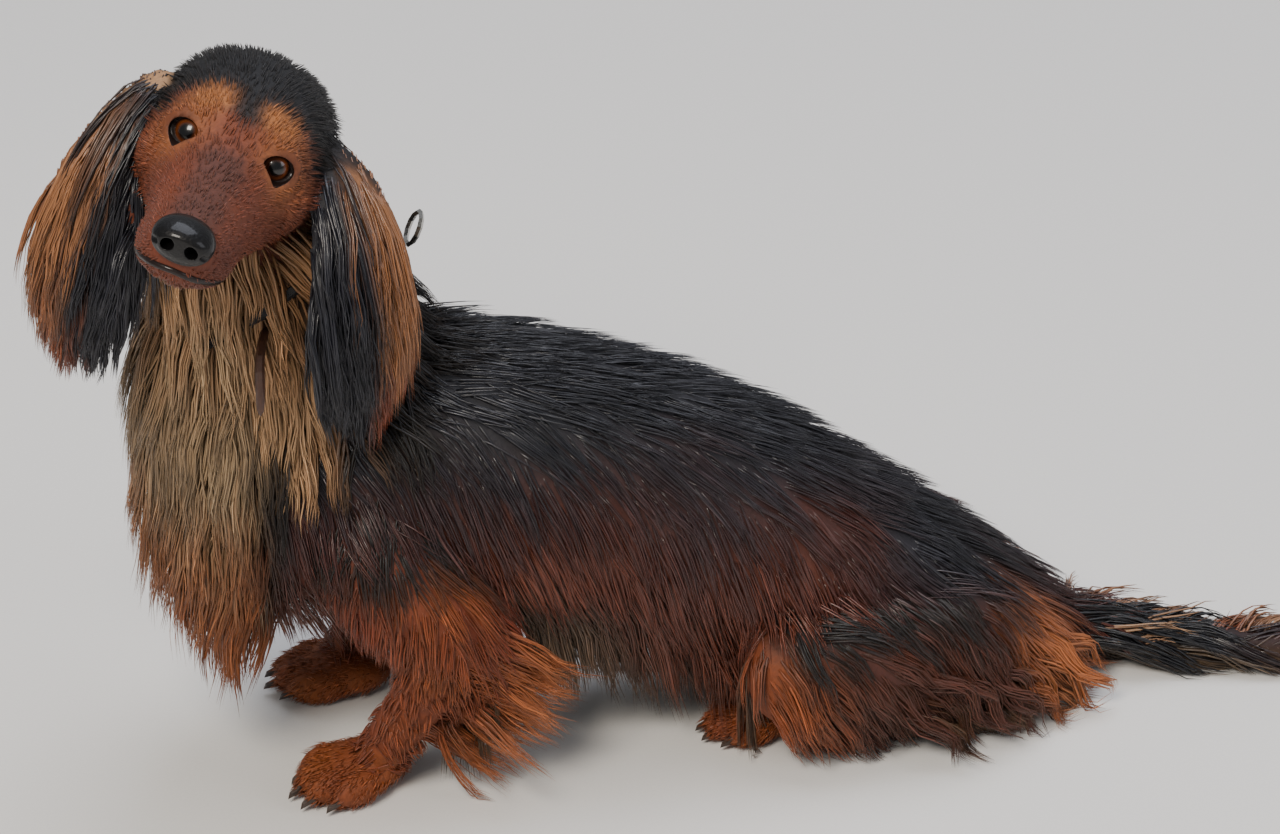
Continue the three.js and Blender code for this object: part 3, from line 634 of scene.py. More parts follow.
def thigh_colours(p):
    x, y, z = p.T
    uneven = 9 * waver(p, 34, 61)
    c = mix(ORANGE, AUBURN, np.clip(0.6 + 0.5 * waver(p, 30, 62), 0, 1))
    c = mix(c, MAHOGANY, ramp(196, 222, x + uneven) * ramp(312, 292, x) * 0.9)
    c = mix(c, FEATHER_TAN, ramp(288, 308, x + uneven) * ramp(20, 34, z) * 0.85)
    c = mix(c, OLIVE, ramp(235, 260, x + uneven) * ramp(40, 20, z) * 0.6)
    return mix(c, BLACK, ramp(58, 74, z + uneven))


def paw_colours(p):
    return mix(ORANGE, AUBURN, np.clip(0.4 + 0.5 * waver(p, 14, 71), 0, 1))


def tail_colours(p):
    x, y, z = p.T
    uneven = 4 * waver(p, 30, 81)
    c = mix(BLACK, MAHOGANY, ramp(370, 460, x + uneven * 4) * 0.6)
    c = mix(c, OLIVE, ramp(15, 7, z + uneven) * 0.75)
    return mix(c, AUBURN, ramp(-6, 16, y + 3 * uneven) * 0.8)


def plume_colours(p):
    return mix(AUBURN, FAWN, np.clip(0.4 + 0.4 * waver(p, 30, 82), 0, 1))


def body_colours(p):
    """The colour of the skin under each part of the coat."""
    c = trunk_colours(p)
    c = mix(c, neck_colours(p), ramp(190, 206, p[:, 2]))
    h = to_head(p)
    in_head = ramp(
        1.25, 1.05, np.sqrt((h[:, 0] / 104) ** 2 + (h[:, 1] / 50) ** 2 + ((h[:, 2] + 14) / 52) ** 2)
    )
    for name, s in SIDES.items():
        middle = ear_root(name) + [5 if s < 0 else -30, -18, -50]
        reach = np.linalg.norm((p - middle) / [26, 14, 62], axis=1)
        flap = np.exp(-(np.maximum(reach, 1) - 1) * 6)
        c = mix(c, ear_colours(p, name), flap)
    c = mix(c, head_colours(p), in_head * ramp(39, 34, np.abs(h[:, 1])))
    beside = np.abs(p[:, 1])
    leg = ramp(38, 44, beside) * ramp(118, 104, p[:, 2]) * ramp(80, 70, p[:, 0])
    c = mix(c, foreleg_colours(p), leg)
    thigh = ramp(30, 40, beside) * ramp(160, 172, p[:, 0]) * ramp(330, 310, p[:, 0]) * ramp(84, 74, p[:, 2])
    c = mix(c, thigh_colours(p), thigh)
    c = mix(c, paw_colours(p), ramp(30, 22, p[:, 2]) * ramp(215, 205, p[:, 0]))
    return mix(c, tail_colours(p), ramp(344, 356, p[:, 0]))


# Growing the coat
def roots_on(form, count, rng, where, slack):
    """Places drawn evenly over a form's own surface, with their place on its map."""
    if isinstance(form, Ball):
        p = unit(rng.normal(size=(count * 2, 3)))
        uv = np.stack(
            [
                np.arctan2(p[:, 1], p[:, 0]) / (2 * math.pi) + 0.5,
                np.arccos(np.clip(p[:, 2], -1, 1)) / math.pi
            ],
            -1
        )
        places = form.place(p)
    else:
        t = np.linspace(0, 1, 90)
        a = np.linspace(0, 2 * math.pi, 49)
        tt, aa = np.meshgrid(t, a, indexing="ij")
        grid = form.point(tt, aa)
        area = np.linalg.norm(
            np.cross(grid[1:, :-1] - grid[:-1, :-1], grid[:-1, 1:] - grid[:-1, :-1]), axis=-1
        )
        cell = rng.choice(area.size, size=count * 2, p=(area / area.sum()).ravel())
        i, j = np.divmod(cell, area.shape[1])
        u, v = rng.random(len(cell)), rng.random(len(cell))
        uv = np.stack([(i + u) / (len(t) - 1), (j + v) / (len(a) - 1)], -1)
        places = form.point(uv[:, 0], uv[:, 1] * 2 * math.pi)
    if where is not None:
        keep = where(places, uv)
        places, uv = places[keep], uv[keep]
    at, way, outside = nearest_skin(places)
    keep = (np.abs(outside) < slack) & (np.linalg.norm(at - places, axis=1) < slack + 0.3)
    at, way, uv = at[keep][:count], way[keep][:count], uv[keep][:count]
    return at, way, uv


def comb(at, way, lie, length, steps, droop, lift, rng, rise):
    """Lines of hair from their roots, along the lie of the coat and down under their own weight."""
    lie = unit(lie)
    flat = unit(lie - way * np.sum(lie * way, -1, keepdims=True) + 1e-6)
    d = unit(flat + way * rise)
    step = (length / steps)[:, None]
    p = at - way * 1.0
    line = [p]
    high = lift * rng.uniform(0.25, 1.0, len(at))
    for k in range(1, steps + 1):
        share = k / steps
        wish = unit(lie + way * rise * (1 - share))
        d = unit(d * (1 - GIVE) + wish * GIVE + np.array([0, 0, -1]) * droop * share)
        q = p + d * step
        _, out, outside = nearest_skin(q)
        wanted = 0.6 + high * share**0.7
        push = np.clip(wanted - outside, 0, None)
        pull = np.clip(outside - wanted - 4, 0, MOST_PULL) * GIVE
        q = q + out * (push - pull)[:, None]
        q[:, 2] = np.maximum(q[:, 2], FLOOR_CLEARANCE + 2.0 * (1 - share))
        d = unit(q - p)
        way = unit(way * 0.4 + out * 0.6)
        p = q
        line.append(p)
    return np.stack(line, 1)


def wave_lines(line, way, wave, wavelength, length, rng, curl):
    """Bends lines of hair from side to side, or round in a curl."""
    steps = line.shape[1]
    share = np.linspace(0, 1, steps)[None, :]
    d = unit(np.gradient(line, axis=1))
    side = unit(np.cross(d, way[:, None, :]))
    top = np.cross(side, d)
    phase = rng.uniform(0, PHASES, (len(line), 1))
    turn = 2 * math.pi * share * (length / wavelength)[:, None] + phase
    offset = side * (np.sqrt(share) * wave * (np.sin(turn) - np.sin(phase)))[..., None]
    if curl:
        offset = offset + top * (curl * share * (1 - np.cos(turn)))[..., None]
    return line + offset


# The width of a tuft at shares of its length
PROFILE_S = [0, 0.12, 0.35, 0.6, 0.82, 1.0]
PROFILE_W = [0.7, 1.0, 0.95, 0.72, 0.4, 0.0]


def strand_arrays(lines, ways, widths, colours, uv, flatness, rng):
    """Thin tapering solids along lines of hair. The last point of a line is its tip."""
    n, k, _ = lines.shape
    d = unit(np.gradient(lines, axis=1))
    side = unit(np.cross(d, ways[:, None, :] + 1e-5))
    top = np.cross(side, d)
    share = np.linspace(0, 1, k)
    half = widths[:, None] * np.interp(share, PROFILE_S, PROFILE_W)[None, :] / 2
    half = half[:, :-1, None]
    p, side, top = lines[:, :-1], side[:, :-1], top[:, :-1]
    under = p - top * half * 0.4 * flatness
    ring = np.stack([p + top * half * flatness, under + side * half, under - side * half], 2)
    rings = k - 1
    points = np.concatenate([ring.reshape(n, rings * 3, 3), lines[:, -1:, :]], 1)
    each = rings * 3 + 1
    quads, tris = [], [(2, 1, 0)]
    for r in range(rings - 1):
        for j in range(3):
            m = (j + 1) % 3
            quads.append((r * 3 + j, r * 3 + m, (r + 1) * 3 + m, (r + 1) * 3 + j))
    last = (rings - 1) * 3
    for j in range(3):
        tris.append((last + j, last + (j + 1) % 3, rings * 3))
    start = (np.arange(n) * each)[:, None]
    loops = [(start + np.array(kind).ravel()[None, :]).reshape(-1) for kind in (quads, tris)]
    sizes = [np.full(len(quads) * n, 4), np.full(len(tris) * n, 3)]
    # Each point keeps its ring's colour, its way along the tuft and a number of the tuft's own.
    ring_colours = np.concatenate([np.repeat(colours[:, :-1], 3, 1), colours[:, -1:]], 1).reshape(-1, 3)
    length = np.sum(np.linalg.norm(np.diff(lines, axis=1), axis=-1), 1)
    across = np.concatenate([np.tile(np.array([0.0, 1.0, 2.0]), rings), [1.0]])[None, :] * widths[
        :, None
    ] * 0.6
    level = np.concatenate([np.repeat(share[:-1], 3), [1.0]])
    own = np.repeat(rng.uniform(0, 400, (n, 1)), each, 1)
    grain = np.stack([across + own, level[None, :] * length[:, None], own], -1).reshape(-1, 3)
    spot = np.concatenate([np.tile(np.array([0.0, 0.5, 1.0]), rings), [0.5]])
    patch = np.stack([spot, level], -1)[None, :, :] * PATCH
    flat = (np.clip(uv[:, None, :], 0, 1 - PATCH) + patch).reshape(-1, 2)
    return dict(
        points=points.reshape(-1, 3), quads=loops[0], tris=loops[1], colours=ring_colours, grain=grain,
        flat=flat, four=len(sizes[0]), three=len(sizes[1])
    )


def strand_mesh(name, batches):
    """One object from batches of tufts."""
    starts = np.cumsum([0] + [len(b["points"]) for b in batches])
    points, colours, grain, flat = (
        np.concatenate([b[key] for b in batches]) for key in ("points", "colours", "grain", "flat")
    )
    loops = [
        b["quads"] + s for b, s in zip(batches, starts)
    ] + [b["tris"] + s for b, s in zip(batches, starts)]
    loops = np.concatenate(loops).astype(np.int32)
    sizes = np.concatenate(
        [np.full(sum(b["four"] for b in batches), 4), np.full(sum(b["three"] for b in batches), 3)]
    )
    mesh = bpy.data.meshes.new(name)
    mesh.vertices.add(len(points))
    mesh.vertices.foreach_set("co", metres(points).ravel())
    mesh.loops.add(len(loops))
    mesh.loops.foreach_set("vertex_index", loops)
    mesh.polygons.add(len(sizes))
    mesh.polygons.foreach_set("loop_start", np.concatenate([[0], np.cumsum(sizes)[:-1]]).astype(np.int32))
    mesh.update(calc_edges=True)
    mesh.shade_smooth()
    layer = mesh.attributes.new("coat", "FLOAT_COLOR", "POINT")
    layer.data.foreach_set("color", np.hstack([colours, np.ones((len(colours), 1))]).ravel())
    layer = mesh.attributes.new("grain", "FLOAT_VECTOR", "POINT")
    layer.data.foreach_set("vector", grain.ravel())
    map_layer = mesh.uv_layers.new(name="OFBake")
    map_layer.data.foreach_set("uv", flat[loops].ravel())
    made = bpy.data.objects.new(name, mesh)
    bpy.context.scene.collection.objects.link(made)
    return made


# What a rule gives unless it says otherwise
USUAL = dict(
    where=None, slack=3.2, bunch=9, stray=0.12, droop=0.2, rise=0.25, wave=0.0, wavelength=30.0, curl=0.0,
    scatter=1.2, close=0.75, loose=0.035, vary=0.28, grizzle=0.06, flatness=0.55
)


def grow(form, count, rule, rng, cell):
    """Tufts on one form. Guides follow the rule's lie, and the tufts round a guide close on it."""
    count = max(40, int(count * FEW))
    at, way, uv = roots_on(form, count, rng, rule["where"], rule["slack"])
    if len(at) < 8:
        return None
    lie, length = rule["lie"](at, way), rule["length"](at, way)
    length = np.broadcast_to(length, len(at)) * rng.uniform(0.75, 1.15, len(at))
    steps = rule["steps"]
    guides = rng.permutation(len(at))[: max(6, len(at) // rule["bunch"])]
    lie = unit(lie) + rng.normal(scale=rule["stray"], size=lie.shape)
    lines = comb(
        at[guides], way[guides], lie[guides], length[guides], steps, rule["droop"], rule["lift"], rng,
        rule["rise"]
    )
    lines = wave_lines(
        lines, way[guides], rule["wave"], rule["wavelength"], length[guides], rng, rule["curl"]
    )
    tree = KDTree(len(guides))
    for i, g in enumerate(guides):
        tree.insert(at[g].tolist(), i)
    tree.balance()
    own = np.array(
        [tree.find(q)[1] for q in (at + rng.normal(scale=rule["scatter"], size=at.shape)).tolist()]
    )
    share = np.linspace(0, 1, steps + 1)
    guide = lines[own]
    reach = np.clip(rng.uniform(0.72, 1.06, len(at)), 0, 1.0)
    f = share[None, :] * reach[:, None] * steps
    i = np.minimum(f.astype(int), steps - 1)
    rows = np.arange(len(at))[:, None]
    path = guide[rows, i] * (1 - (f - i))[..., None] + guide[rows, i + 1] * (f - i)[..., None]
    close = rule["close"] * share**0.9
    path = path + (at - at[guides][own])[:, None, :] * (1 - close)[None, :, None]
    loose = rng.normal(scale=rule["loose"], size=at.shape) * length[:, None]
    path = path + loose[:, None, :] * (share**1.5)[None, :, None]
    flat = path[:, 1:].reshape(-1, 3)
    _, out, outside = nearest_skin(flat)
    wanted = np.tile(0.35 + 0.8 * share[1:], len(at))
    flat = flat + out * np.clip(wanted - outside, 0, 12)[:, None]
    flat[:, 2] = np.maximum(flat[:, 2], FLOOR_CLEARANCE)
    path[:, 1:] = flat.reshape(len(at), steps, 3)
    base = rule["colour"](at)
    tips = rule["tips"](path[:, -1]) if "tips" in rule else base
    colours = mix(base[:, None, :], tips[:, None, :], np.broadcast_to(share**1.2, (len(at), steps + 1)))
    light = rng.uniform(1 - rule["vary"], 1 + rule["vary"], (len(at), 1, 1))
    grizzle = (rng.random(len(at)) < rule["grizzle"])[:, None, None]
    # painted shade at the roots and painted light at the tips of each tuft
    colours = colours * light * (ROOT_SHADE + TIP_LIGHT * share[None, :, None])
    colours = np.where(grizzle, colours * 1.7 + 0.012, colours)
    x0, y0, x1, y1 = cell
    uv = np.array([x0, y0]) + uv * np.array([x1 - x0, y1 - y0])
    widths = rule["width"] * rng.uniform(0.65, 1.3, len(at))
    return path, way, widths, colours, uv


def coat_piece(name, slot, material, parts, seed):
    """One piece of the coat from several forms, each with its own cell of the piece's map."""
    rng = np.random.default_rng(seed)
    columns = math.ceil(math.sqrt(len(parts)))
    rows = math.ceil(len(parts) / columns)
    made = []
    for i, (form, count, rule) in enumerate(parts):
        c, r = i % columns, i // columns
        cell = (
            c / columns + CELL_GAP, r / rows + CELL_GAP, (c + 1) / columns - 2 * CELL_GAP,
            (r + 1) / rows - 2 * CELL_GAP
        )
        rule = {**USUAL, **rule}
        grown = grow(form, count, rule, rng, cell)
        if grown:
            made.append(strand_arrays(*grown, rule["flatness"], rng))
    piece = strand_mesh(name, made)
    piece.data.materials.append(material)
    return ride(piece, slot)


# The lie of the coat in each region. A rule gives the lie and length of the hair at its roots.
def everywhere(at, v):
    return np.broadcast_to(np.array(v, float), at.shape).copy()


def fixed(*v):
    return lambda at, way: everywhere(at, v)


def same(length):
    return lambda at, way: np.full(len(at), float(length))


def trunk_lie(at, way):
    upper = ramp(0.35, 1.0, way[:, 2])
    lie = mix(np.array([0.38, 0, -1.0]), np.array([1.0, 0, -0.12]), upper)
    lie[:, 1] += 0.5 * way[:, 1] * upper
    front = ramp(-14, -44, at[:, 0])
    lie = mix(lie, np.array([0.1, 0, -1.0]), front)
    rump = ramp(250, 320, at[:, 0])
    lie = mix(lie, np.array([0.8, 0, -0.9]), rump * (1 - upper))
    lie[:, 1] += 0.25 * np.sign(at[:, 1]) * ramp(10, 50, np.abs(at[:, 1])) * rump
    return lie + 0.12 * waver(at, 60, 5)[:, None] * np.array([0.6, 0.6, 0.3])


def trunk_length(at, way):
    upper = ramp(-0.1, 0.9, way[:, 2])
    return mix(
        np.full((len(at), 1), 46.0), np.full((len(at), 1), 34.0), upper
    )[:, 0] + 8 * ramp(-10, -50, at[:, 0])


def neck_lie(at, way):
    nape = ramp(-0.2, 0.5, way[:, 0])
    lie = mix(np.array([0.05, 0, -1.0]), np.array([0.8, 0, -0.6]), nape)
    lie[:, 1] += 0.3 * np.sign(at[:, 1] + 6) * ramp(8, 30, np.abs(at[:, 1] + 6)) * (1 - nape)
    return lie + 0.16 * waver(at, 36, 6)[:, None] * np.array([0.5, 1.0, 0.0])


def apron_lie(at, way):
    lie = everywhere(at, (-0.15, 0, -1))
    lie[:, 1] += 0.22 * way[:, 1] + 0.16 * waver(at, 40, 7)
    lie[:, 0] += 0.15 * waver(at, 40, 8)
    return lie


def head_lie(at, way):
    h = to_head(at)
    lie = np.stack(
        [
            np.ones(len(h)),
            0.25 * np.sign(h[:, 1]) * ramp(2, 14, np.abs(h[:, 1])) * ramp(-50, 0, h[:, 0]),
            -0.25 * ramp(20, 90, h[:, 0])
        ],
        -1
    )
    lie[:, 2] -= 0.5 * ramp(-8, -30, h[:, 2]) * ramp(-20, 30, h[:, 0])
    side = np.sign(h[:, 1])
    around = h - np.stack(
        [np.full(len(h), EYE_AT[0] - 4), EYE_AT[1] * side, np.full(len(h), EYE_AT[2] + 2)], -1
    )
    near = np.exp(-((np.linalg.norm(around, axis=1) / 14) ** 2))
    lie = unit((lie + unit(around) * near[:, None] * 1.2) @ HEAD_TURN.T)
    return mix(lie, np.array([0.0, 0.0, -1.0]) + 0.5 * way, near_ear(h))


def head_length(at, way):
    h = to_head(at)
    x, y, z = h[:, 0], np.abs(h[:, 1]), h[:, 2]
    length = 3.0 + 3.2 * ramp(-60, -10, x) + 4 * ramp(0, 45, x) + 12 * ramp(45, 90, x)
    length = length + 6 * ramp(-20, -40, z) * ramp(-10, 40, x)
    near = np.exp(-((np.sqrt((x + 2) ** 2 + (y - 17.5) ** 2 + z**2) / 15) ** 2))
    return length * (1 - 0.55 * near) + 20 * near_ear(h)


def clear_of_eyes(at, uv):
    h = to_head(at)
    keep = h[:, 0] > -95
    for s in SIDES.values():
        eye, look, out, up = eye_axes(s)
        d = h - eye
        ahead = d @ look
        wide, high = d @ out, d @ up
        keep &= ~((ahead > 0) & ((wide / 9.0) ** 2 + (high / 7.4) ** 2 < 1))
    keep &= ~((h[:, 0] < -84) & (np.abs(h[:, 1]) < 13) & (h[:, 2] > -26))
    return keep


def foreleg_lie(s):
    def lie(at, way):
        back = ramp(-0.1, 0.5, way[:, 0])
        v = mix(np.array([-0.05, 0.05 * s, -1.0]), np.array([0.75, 0.25 * s, -0.85]), back)
        return v + 0.2 * waver(at, 30, 9)[:, None] * np.array([1.0, 1.0, 0.0])

    return lie


def foreleg_length(at, way):
    back = ramp(-0.1, 0.5, way[:, 0])
    return 9 + 15 * ramp(60, 110, at[:, 2]) + back * 20 * ramp(28, 50, at[:, 2])


def thigh_lie(s):
    def lie(at, way):
        v = everywhere(at, (0.55, 0.05 * s, -0.85))
        return v + 0.3 * waver(at, 34, 10)[:, None] * np.array([0.6, 1.0, 0.3])

    return lie


def tail_lie(at, way):
    v = everywhere(at, (1, -0.05, -0.05))
    v[:, 1] += 0.5 * way[:, 1] + 0.3
    v[:, 2] -= 0.15
    return v


def ear_lie(name):
    lean = {"left": (0.06, -0.16), "right": (-0.16, -0.1)}[name]

    def lie(at, way):
        v = everywhere(at, (*lean, -1))
        away = {"left": np.array([0.12, -0.45, -0.9]), "right": np.array([-0.55, -0.3, -0.8])}[name]
        v = mix(v, away, ramp(0.0, 0.6, way[:, 2]))
        return v + 0.1 * waver(at, 34, 12)[:, None] * np.array([1.0, 0.6, 0.0])

    return lie


def ear_length(name):
    top = ear_root(name)[2]

    def length(at, way):
        return 34 + 44 * ramp(-100, -5, at[:, 2] - top)

    return length


def paw_lie(name):
    turn = math.radians(PAWS[name][1])

    def lie(at, way):
        return everywhere(at, (-math.cos(turn), -math.sin(turn), -0.5)) + 0.4 * way

    return lie


HEAD_RULE = dict(
    lie=head_lie, length=head_length, steps=3, lift=0.25, rise=0.02, droop=0.0, width=0.62, stray=0.03,
    bunch=5, close=0.2, loose=0.008, scatter=0.5, flatness=0.4, colour=head_colours, where=clear_of_eyes,
    vary=0.12, grizzle=0.02
)
PAW_RULE = dict(
    length=same(6.5), steps=2, lift=0.5, rise=0.06, droop=0.0, width=0.8, stray=0.05, bunch=4, close=0.3,
    loose=0.01, flatness=0.4, colour=paw_colours, vary=0.16
)
TRUNK_RULE = dict(
    lie=trunk_lie, length=trunk_length, steps=4, lift=2.2, rise=0.06, droop=0.08, width=0.95, wave=0.6,
    wavelength=34, bunch=12, close=0.35, flatness=0.4, loose=0.014, stray=0.04, scatter=2.0,
    colour=trunk_colours, vary=0.24, grizzle=0.03
)
NECK_RULE = dict(
    lie=neck_lie, length=same(44), steps=5, lift=8, rise=0.16, droop=0.2, width=1.3, wave=1.6,
    wavelength=34, bunch=12, close=0.6, loose=0.022, stray=0.06, scatter=2.0, colour=neck_colours,
    grizzle=0.06
)
APRON_RULE = dict(
    lie=apron_lie, length=same(56), steps=6, lift=11, rise=0.16, droop=0.4, width=1.1, wave=2.2,
    wavelength=44, bunch=14, close=0.52, flatness=0.4, loose=0.025, stray=0.06, scatter=2.0,
    colour=chest_colours, tips=lambda p: chest_colours(p) * 0.75, grizzle=0.08
)


def leg_rule(s):
    return dict(
        lie=foreleg_lie(s), length=foreleg_length, steps=5, lift=1.8, rise=0.06, droop=0.1, width=0.95,
        wave=0.8, wavelength=34, bunch=10, close=0.4, flatness=0.4, loose=0.025, stray=0.06, scatter=1.6,
        colour=foreleg_colours
    )


def thigh_rule(s):
    return dict(
        lie=thigh_lie(s), length=same(38), steps=5, lift=3, rise=0.08, droop=0.15, width=1.05, wave=1.6,
        wavelength=30, bunch=12, close=0.5, flatness=0.4, loose=0.025, stray=0.06, scatter=1.6,
        colour=thigh_colours
    )


def breeches_rule(s):
    return dict(
        lie=fixed(0.75, 0.25 * s, -0.6), length=same(54), steps=7, lift=7, rise=0.2, droop=0.4, width=1.1,
        wave=5.0, wavelength=38, curl=4.0, bunch=22, slack=18, close=0.85, loose=0.03,
        colour=thigh_colours
    )


def ear_rule(name):
    return dict(
        lie=ear_lie(name), length=ear_length(name), steps=5, lift=4.5, rise=0.1, droop=0.5, width=1.25,
        wave=1.7, wavelength=36, bunch=14, close=0.6, loose=0.016, stray=0.05, scatter=2.0,
        colour=lambda p: ear_colours(p, name), vary=0.22, grizzle=0.02
    )


TAIL_RULE = dict(
    lie=tail_lie, length=same(54), steps=5, lift=4, rise=0.12, droop=0.3, width=1.3, wave=2.0,
    wavelength=40, bunch=12, close=0.7, loose=0.03, stray=0.08, scatter=1.6, colour=tail_colours
)


# Fringe and feathers hang from a line low on the body, so their roots are drawn on slim forms within it.
def fringe_form(s):
    return Form(
        [
            (30, 46 * s, 84, 5, 12), (70, 50 * s, 78, 5, 13), (110, 51 * s, 74, 5, 13),
            (150, 49 * s, 66, 5, 12), (186, 47 * s, 58, 4, 10)
        ]
    )


def feather_form(s):
    return Form(
        [(56, 63 * s, 98, 5, 8), (50, 59 * s, 70, 5, 8), (38, 52 * s, 44, 5, 7), (28, 47 * s, 28, 4, 6)],
        up=(-1, 0, 0)
    )


def breeches_form(s):
    return Form(
        [
            (236, 52 * s, 34, 8, 14), (268, 56 * s, 34, 9, 16), (300, 48 * s, 30, 9, 14),
            (326, 30 * s, 26, 9, 12)
        ]
    )


def plume_form():
    return Form(
        [
            (340, 6, 22, 10, 8), (390, -6, 13, 7, 7), (440, -18, 10, 6, 6), (500, -30, 8, 5, 5),
            (545, -36, 7, 4, 4)
        ]
    )


# Materials
def add(tree, kind, inputs=None, **settings):
    """Adds a node with its settings, and its inputs as values or as the sockets that feed them."""
    made = tree.nodes.new(kind)
    for key, value in settings.items():
        setattr(made, key, value)
    for key, value in (inputs or {}).items():
        if isinstance(value, bpy.types.NodeSocket):
            tree.links.new(value, made.inputs[key])
        else:
            made.inputs[key].default_value = value
    return made


def new_material(name):
    material = bpy.data.materials.new(name)
    material.use_nodes = True
    tree = material.node_tree
    tree.nodes.clear()
    return material, tree


def finish_material(tree, shader):
    out = add(tree, "ShaderNodeOutputMaterial")
    tree.links.new(shader.outputs[0], out.inputs["Surface"])


def rgba(colour):
    return (*colour, 1.0)


def hair_material(name, roughness, sheen, sheen_tint, specular=0.5):
    """Grown hair in tufts: keratin, smooth along each hair, so it shines in soft streaks along its length."""
    material, tree = new_material(name)
    coat = add(tree, "ShaderNodeAttribute", attribute_name="coat")
    grain = add(tree, "ShaderNodeAttribute", attribute_name="grain")
    # single hairs about 0.25 mm apart across the tuft, drawn long
    stretch = add(tree, "ShaderNodeMapping", {"Vector": grain.outputs["Vector"], "Scale": (2.2, 0.05, 0.3)})
    hairs = add(
        tree, "ShaderNodeTexNoise",
        {"Vector": stretch.outputs[0], "Scale": 1.0, "Detail": 3.0, "Roughness": 0.65}
    )
    light = add(
        tree, "ShaderNodeMapRange",
        {"Value": hairs.outputs["Fac"], "From Min": 0.3, "From Max": 0.7, "To Min": 0.6, "To Max": 1.35}
    )
    colour = add(
        tree, "ShaderNodeMix", {"Factor": 1.0, 6: coat.outputs["Color"], 7: light.outputs[0]},
        data_type="RGBA", blend_type="MULTIPLY"
    )
    bump = add(tree, "ShaderNodeBump", {"Height": hairs.outputs["Fac"], "Strength": 0.5, "Distance": 0.0003})
    shader = add(
        tree, "ShaderNodeBsdfPrincipled",
        {
            "Base Color": colour.outputs[2], "Roughness": roughness, "IOR": 1.55,
            "Specular IOR Level": specular, "Sheen Weight": sheen, "Sheen Roughness": 0.45,
            "Sheen Tint": rgba(sheen_tint), "Normal": bump.outputs[0]
        }
    )
    finish_material(tree, shader)
    return material


def skin_material():
    """Skin with short dense underfur: matt, and broken by fine hair that lies towards the tail."""
    material, tree = new_material("short_underfur")
    coat = add(tree, "ShaderNodeAttribute", attribute_name="coat")
    place = add(tree, "ShaderNodeTexCoord")
    # hairs of the underfur about 0.5 mm apart and some millimetres long
    stretch = add(
        tree, "ShaderNodeMapping", {"Vector": place.outputs["Object"], "Scale": (500.0, 900.0, 300.0)}
    )
    hairs = add(tree, "ShaderNodeTexNoise", {"Vector": stretch.outputs[0], "Scale": 1.0, "Detail": 2.0})
    light = add(tree, "ShaderNodeMapRange", {"Value": hairs.outputs["Fac"], "To Min": 0.55, "To Max": 1.3})
    colour = add(
        tree, "ShaderNodeMix", {"Factor": 1.0, 6: coat.outputs["Color"], 7: light.outputs[0]},
        data_type="RGBA", blend_type="MULTIPLY"
    )
    bump = add(tree, "ShaderNodeBump", {"Height": hairs.outputs["Fac"], "Strength": 0.8, "Distance": 0.0006})
    shader = add(tree, "ShaderNodeBsdfPrincipled", {
        "Base Color": colour.outputs[2], "Roughness": 0.7, "IOR": 1.45, "Normal": bump.outputs[0]})
    finish_material(tree, shader)
    return material


def eye_material():
    """A living eye: brown iris with darker rim and fibres under a clear wet cornea."""
    material, tree = new_material("wet_cornea")
    ring = add(tree, "ShaderNodeAttribute", attribute_name="iris")
    parts = add(tree, "ShaderNodeSeparateXYZ", {"Vector": ring.outputs["Vector"]})
    # iris fibres, about 60 round the pupil
    spokes = add(tree, "ShaderNodeTexNoise", {"Vector": ring.outputs["Vector"], "Scale": 9.0, "Detail": 4.0})
    bands = add(tree, "ShaderNodeValToRGB", {"Fac": parts.outputs["X"]})
    stops = [
        (0.0, "#020202"), (0.24, "#030202"), (0.28, "#1d0d06"), (0.42, "#5a2c12"), (0.5, "#42200e"),
        (0.57, "#0d0807"), (0.7, "#1a1110"), (1.0, "#2a1d1a")
    ]
    bands.color_ramp.elements[0].position, bands.color_ramp.elements[1].position = stops[0][0], stops[-1][0]
    elements = bands.color_ramp.elements
    elements[0].color, elements[1].color = rgba(tone(stops[0][1])), rgba(tone(stops[-1][1]))
    for position, code in stops[1:-1]:
        elements.new(position).color = rgba(tone(code))
    light = add(tree, "ShaderNodeMapRange", {"Value": spokes.outputs["Fac"], "To Min": 0.5, "To Max": 1.6})
    colour = add(
        tree, "ShaderNodeMix", {"Factor": 1.0, 6: bands.outputs["Color"], 7: light.outputs[0]},
        data_type="RGBA", blend_type="MULTIPLY"
    )
    shader = add(
        tree, "ShaderNodeBsdfPrincipled",
        {
            "Base Color": colour.outputs[2], "Roughness": 0.25, "IOR": 1.38, "Coat Weight": 1.0,
            "Coat Roughness": 0.02, "Coat IOR": 1.38
        }
    )
    finish_material(tree, shader)
    return material


def moist_skin_material(name, code, pore_mm, roughness, film, depth):
    """Bare skin, as on a nose or the rim of a lid: dark, pebbled and moist."""
    material, tree = new_material(name)
    place = add(tree, "ShaderNodeTexCoord")
    pebbles = add(
        tree, "ShaderNodeTexVoronoi", {"Vector": place.outputs["Object"], "Scale": 1000.0 / pore_mm},
        feature="SMOOTH_F1"
    )
    clouds = add(
        tree, "ShaderNodeTexNoise", {"Vector": place.outputs["Object"], "Scale": 160.0, "Detail": 3.0}
    )
    base = tone(code)
    tint = add(
        tree, "ShaderNodeMix",
        {
            "Factor": clouds.outputs["Fac"], 6: rgba(tuple(0.6 * c for c in base)),
            7: rgba(tuple(1.5 * c for c in base))
        },
        data_type="RGBA"
    )
    bump = add(
        tree, "ShaderNodeBump",
        {"Height": pebbles.outputs["Distance"], "Strength": 0.6, "Distance": depth}, invert=True
    )
    shader = add(tree, "ShaderNodeBsdfPrincipled", {
        "Base Color": tint.outputs[2], "Roughness": roughness, "IOR": 1.42, "Specular IOR Level": 0.2,
        "Coat Weight": film, "Coat Roughness": 0.12, "Normal": bump.outputs[0]})
    finish_material(tree, shader)
    return material


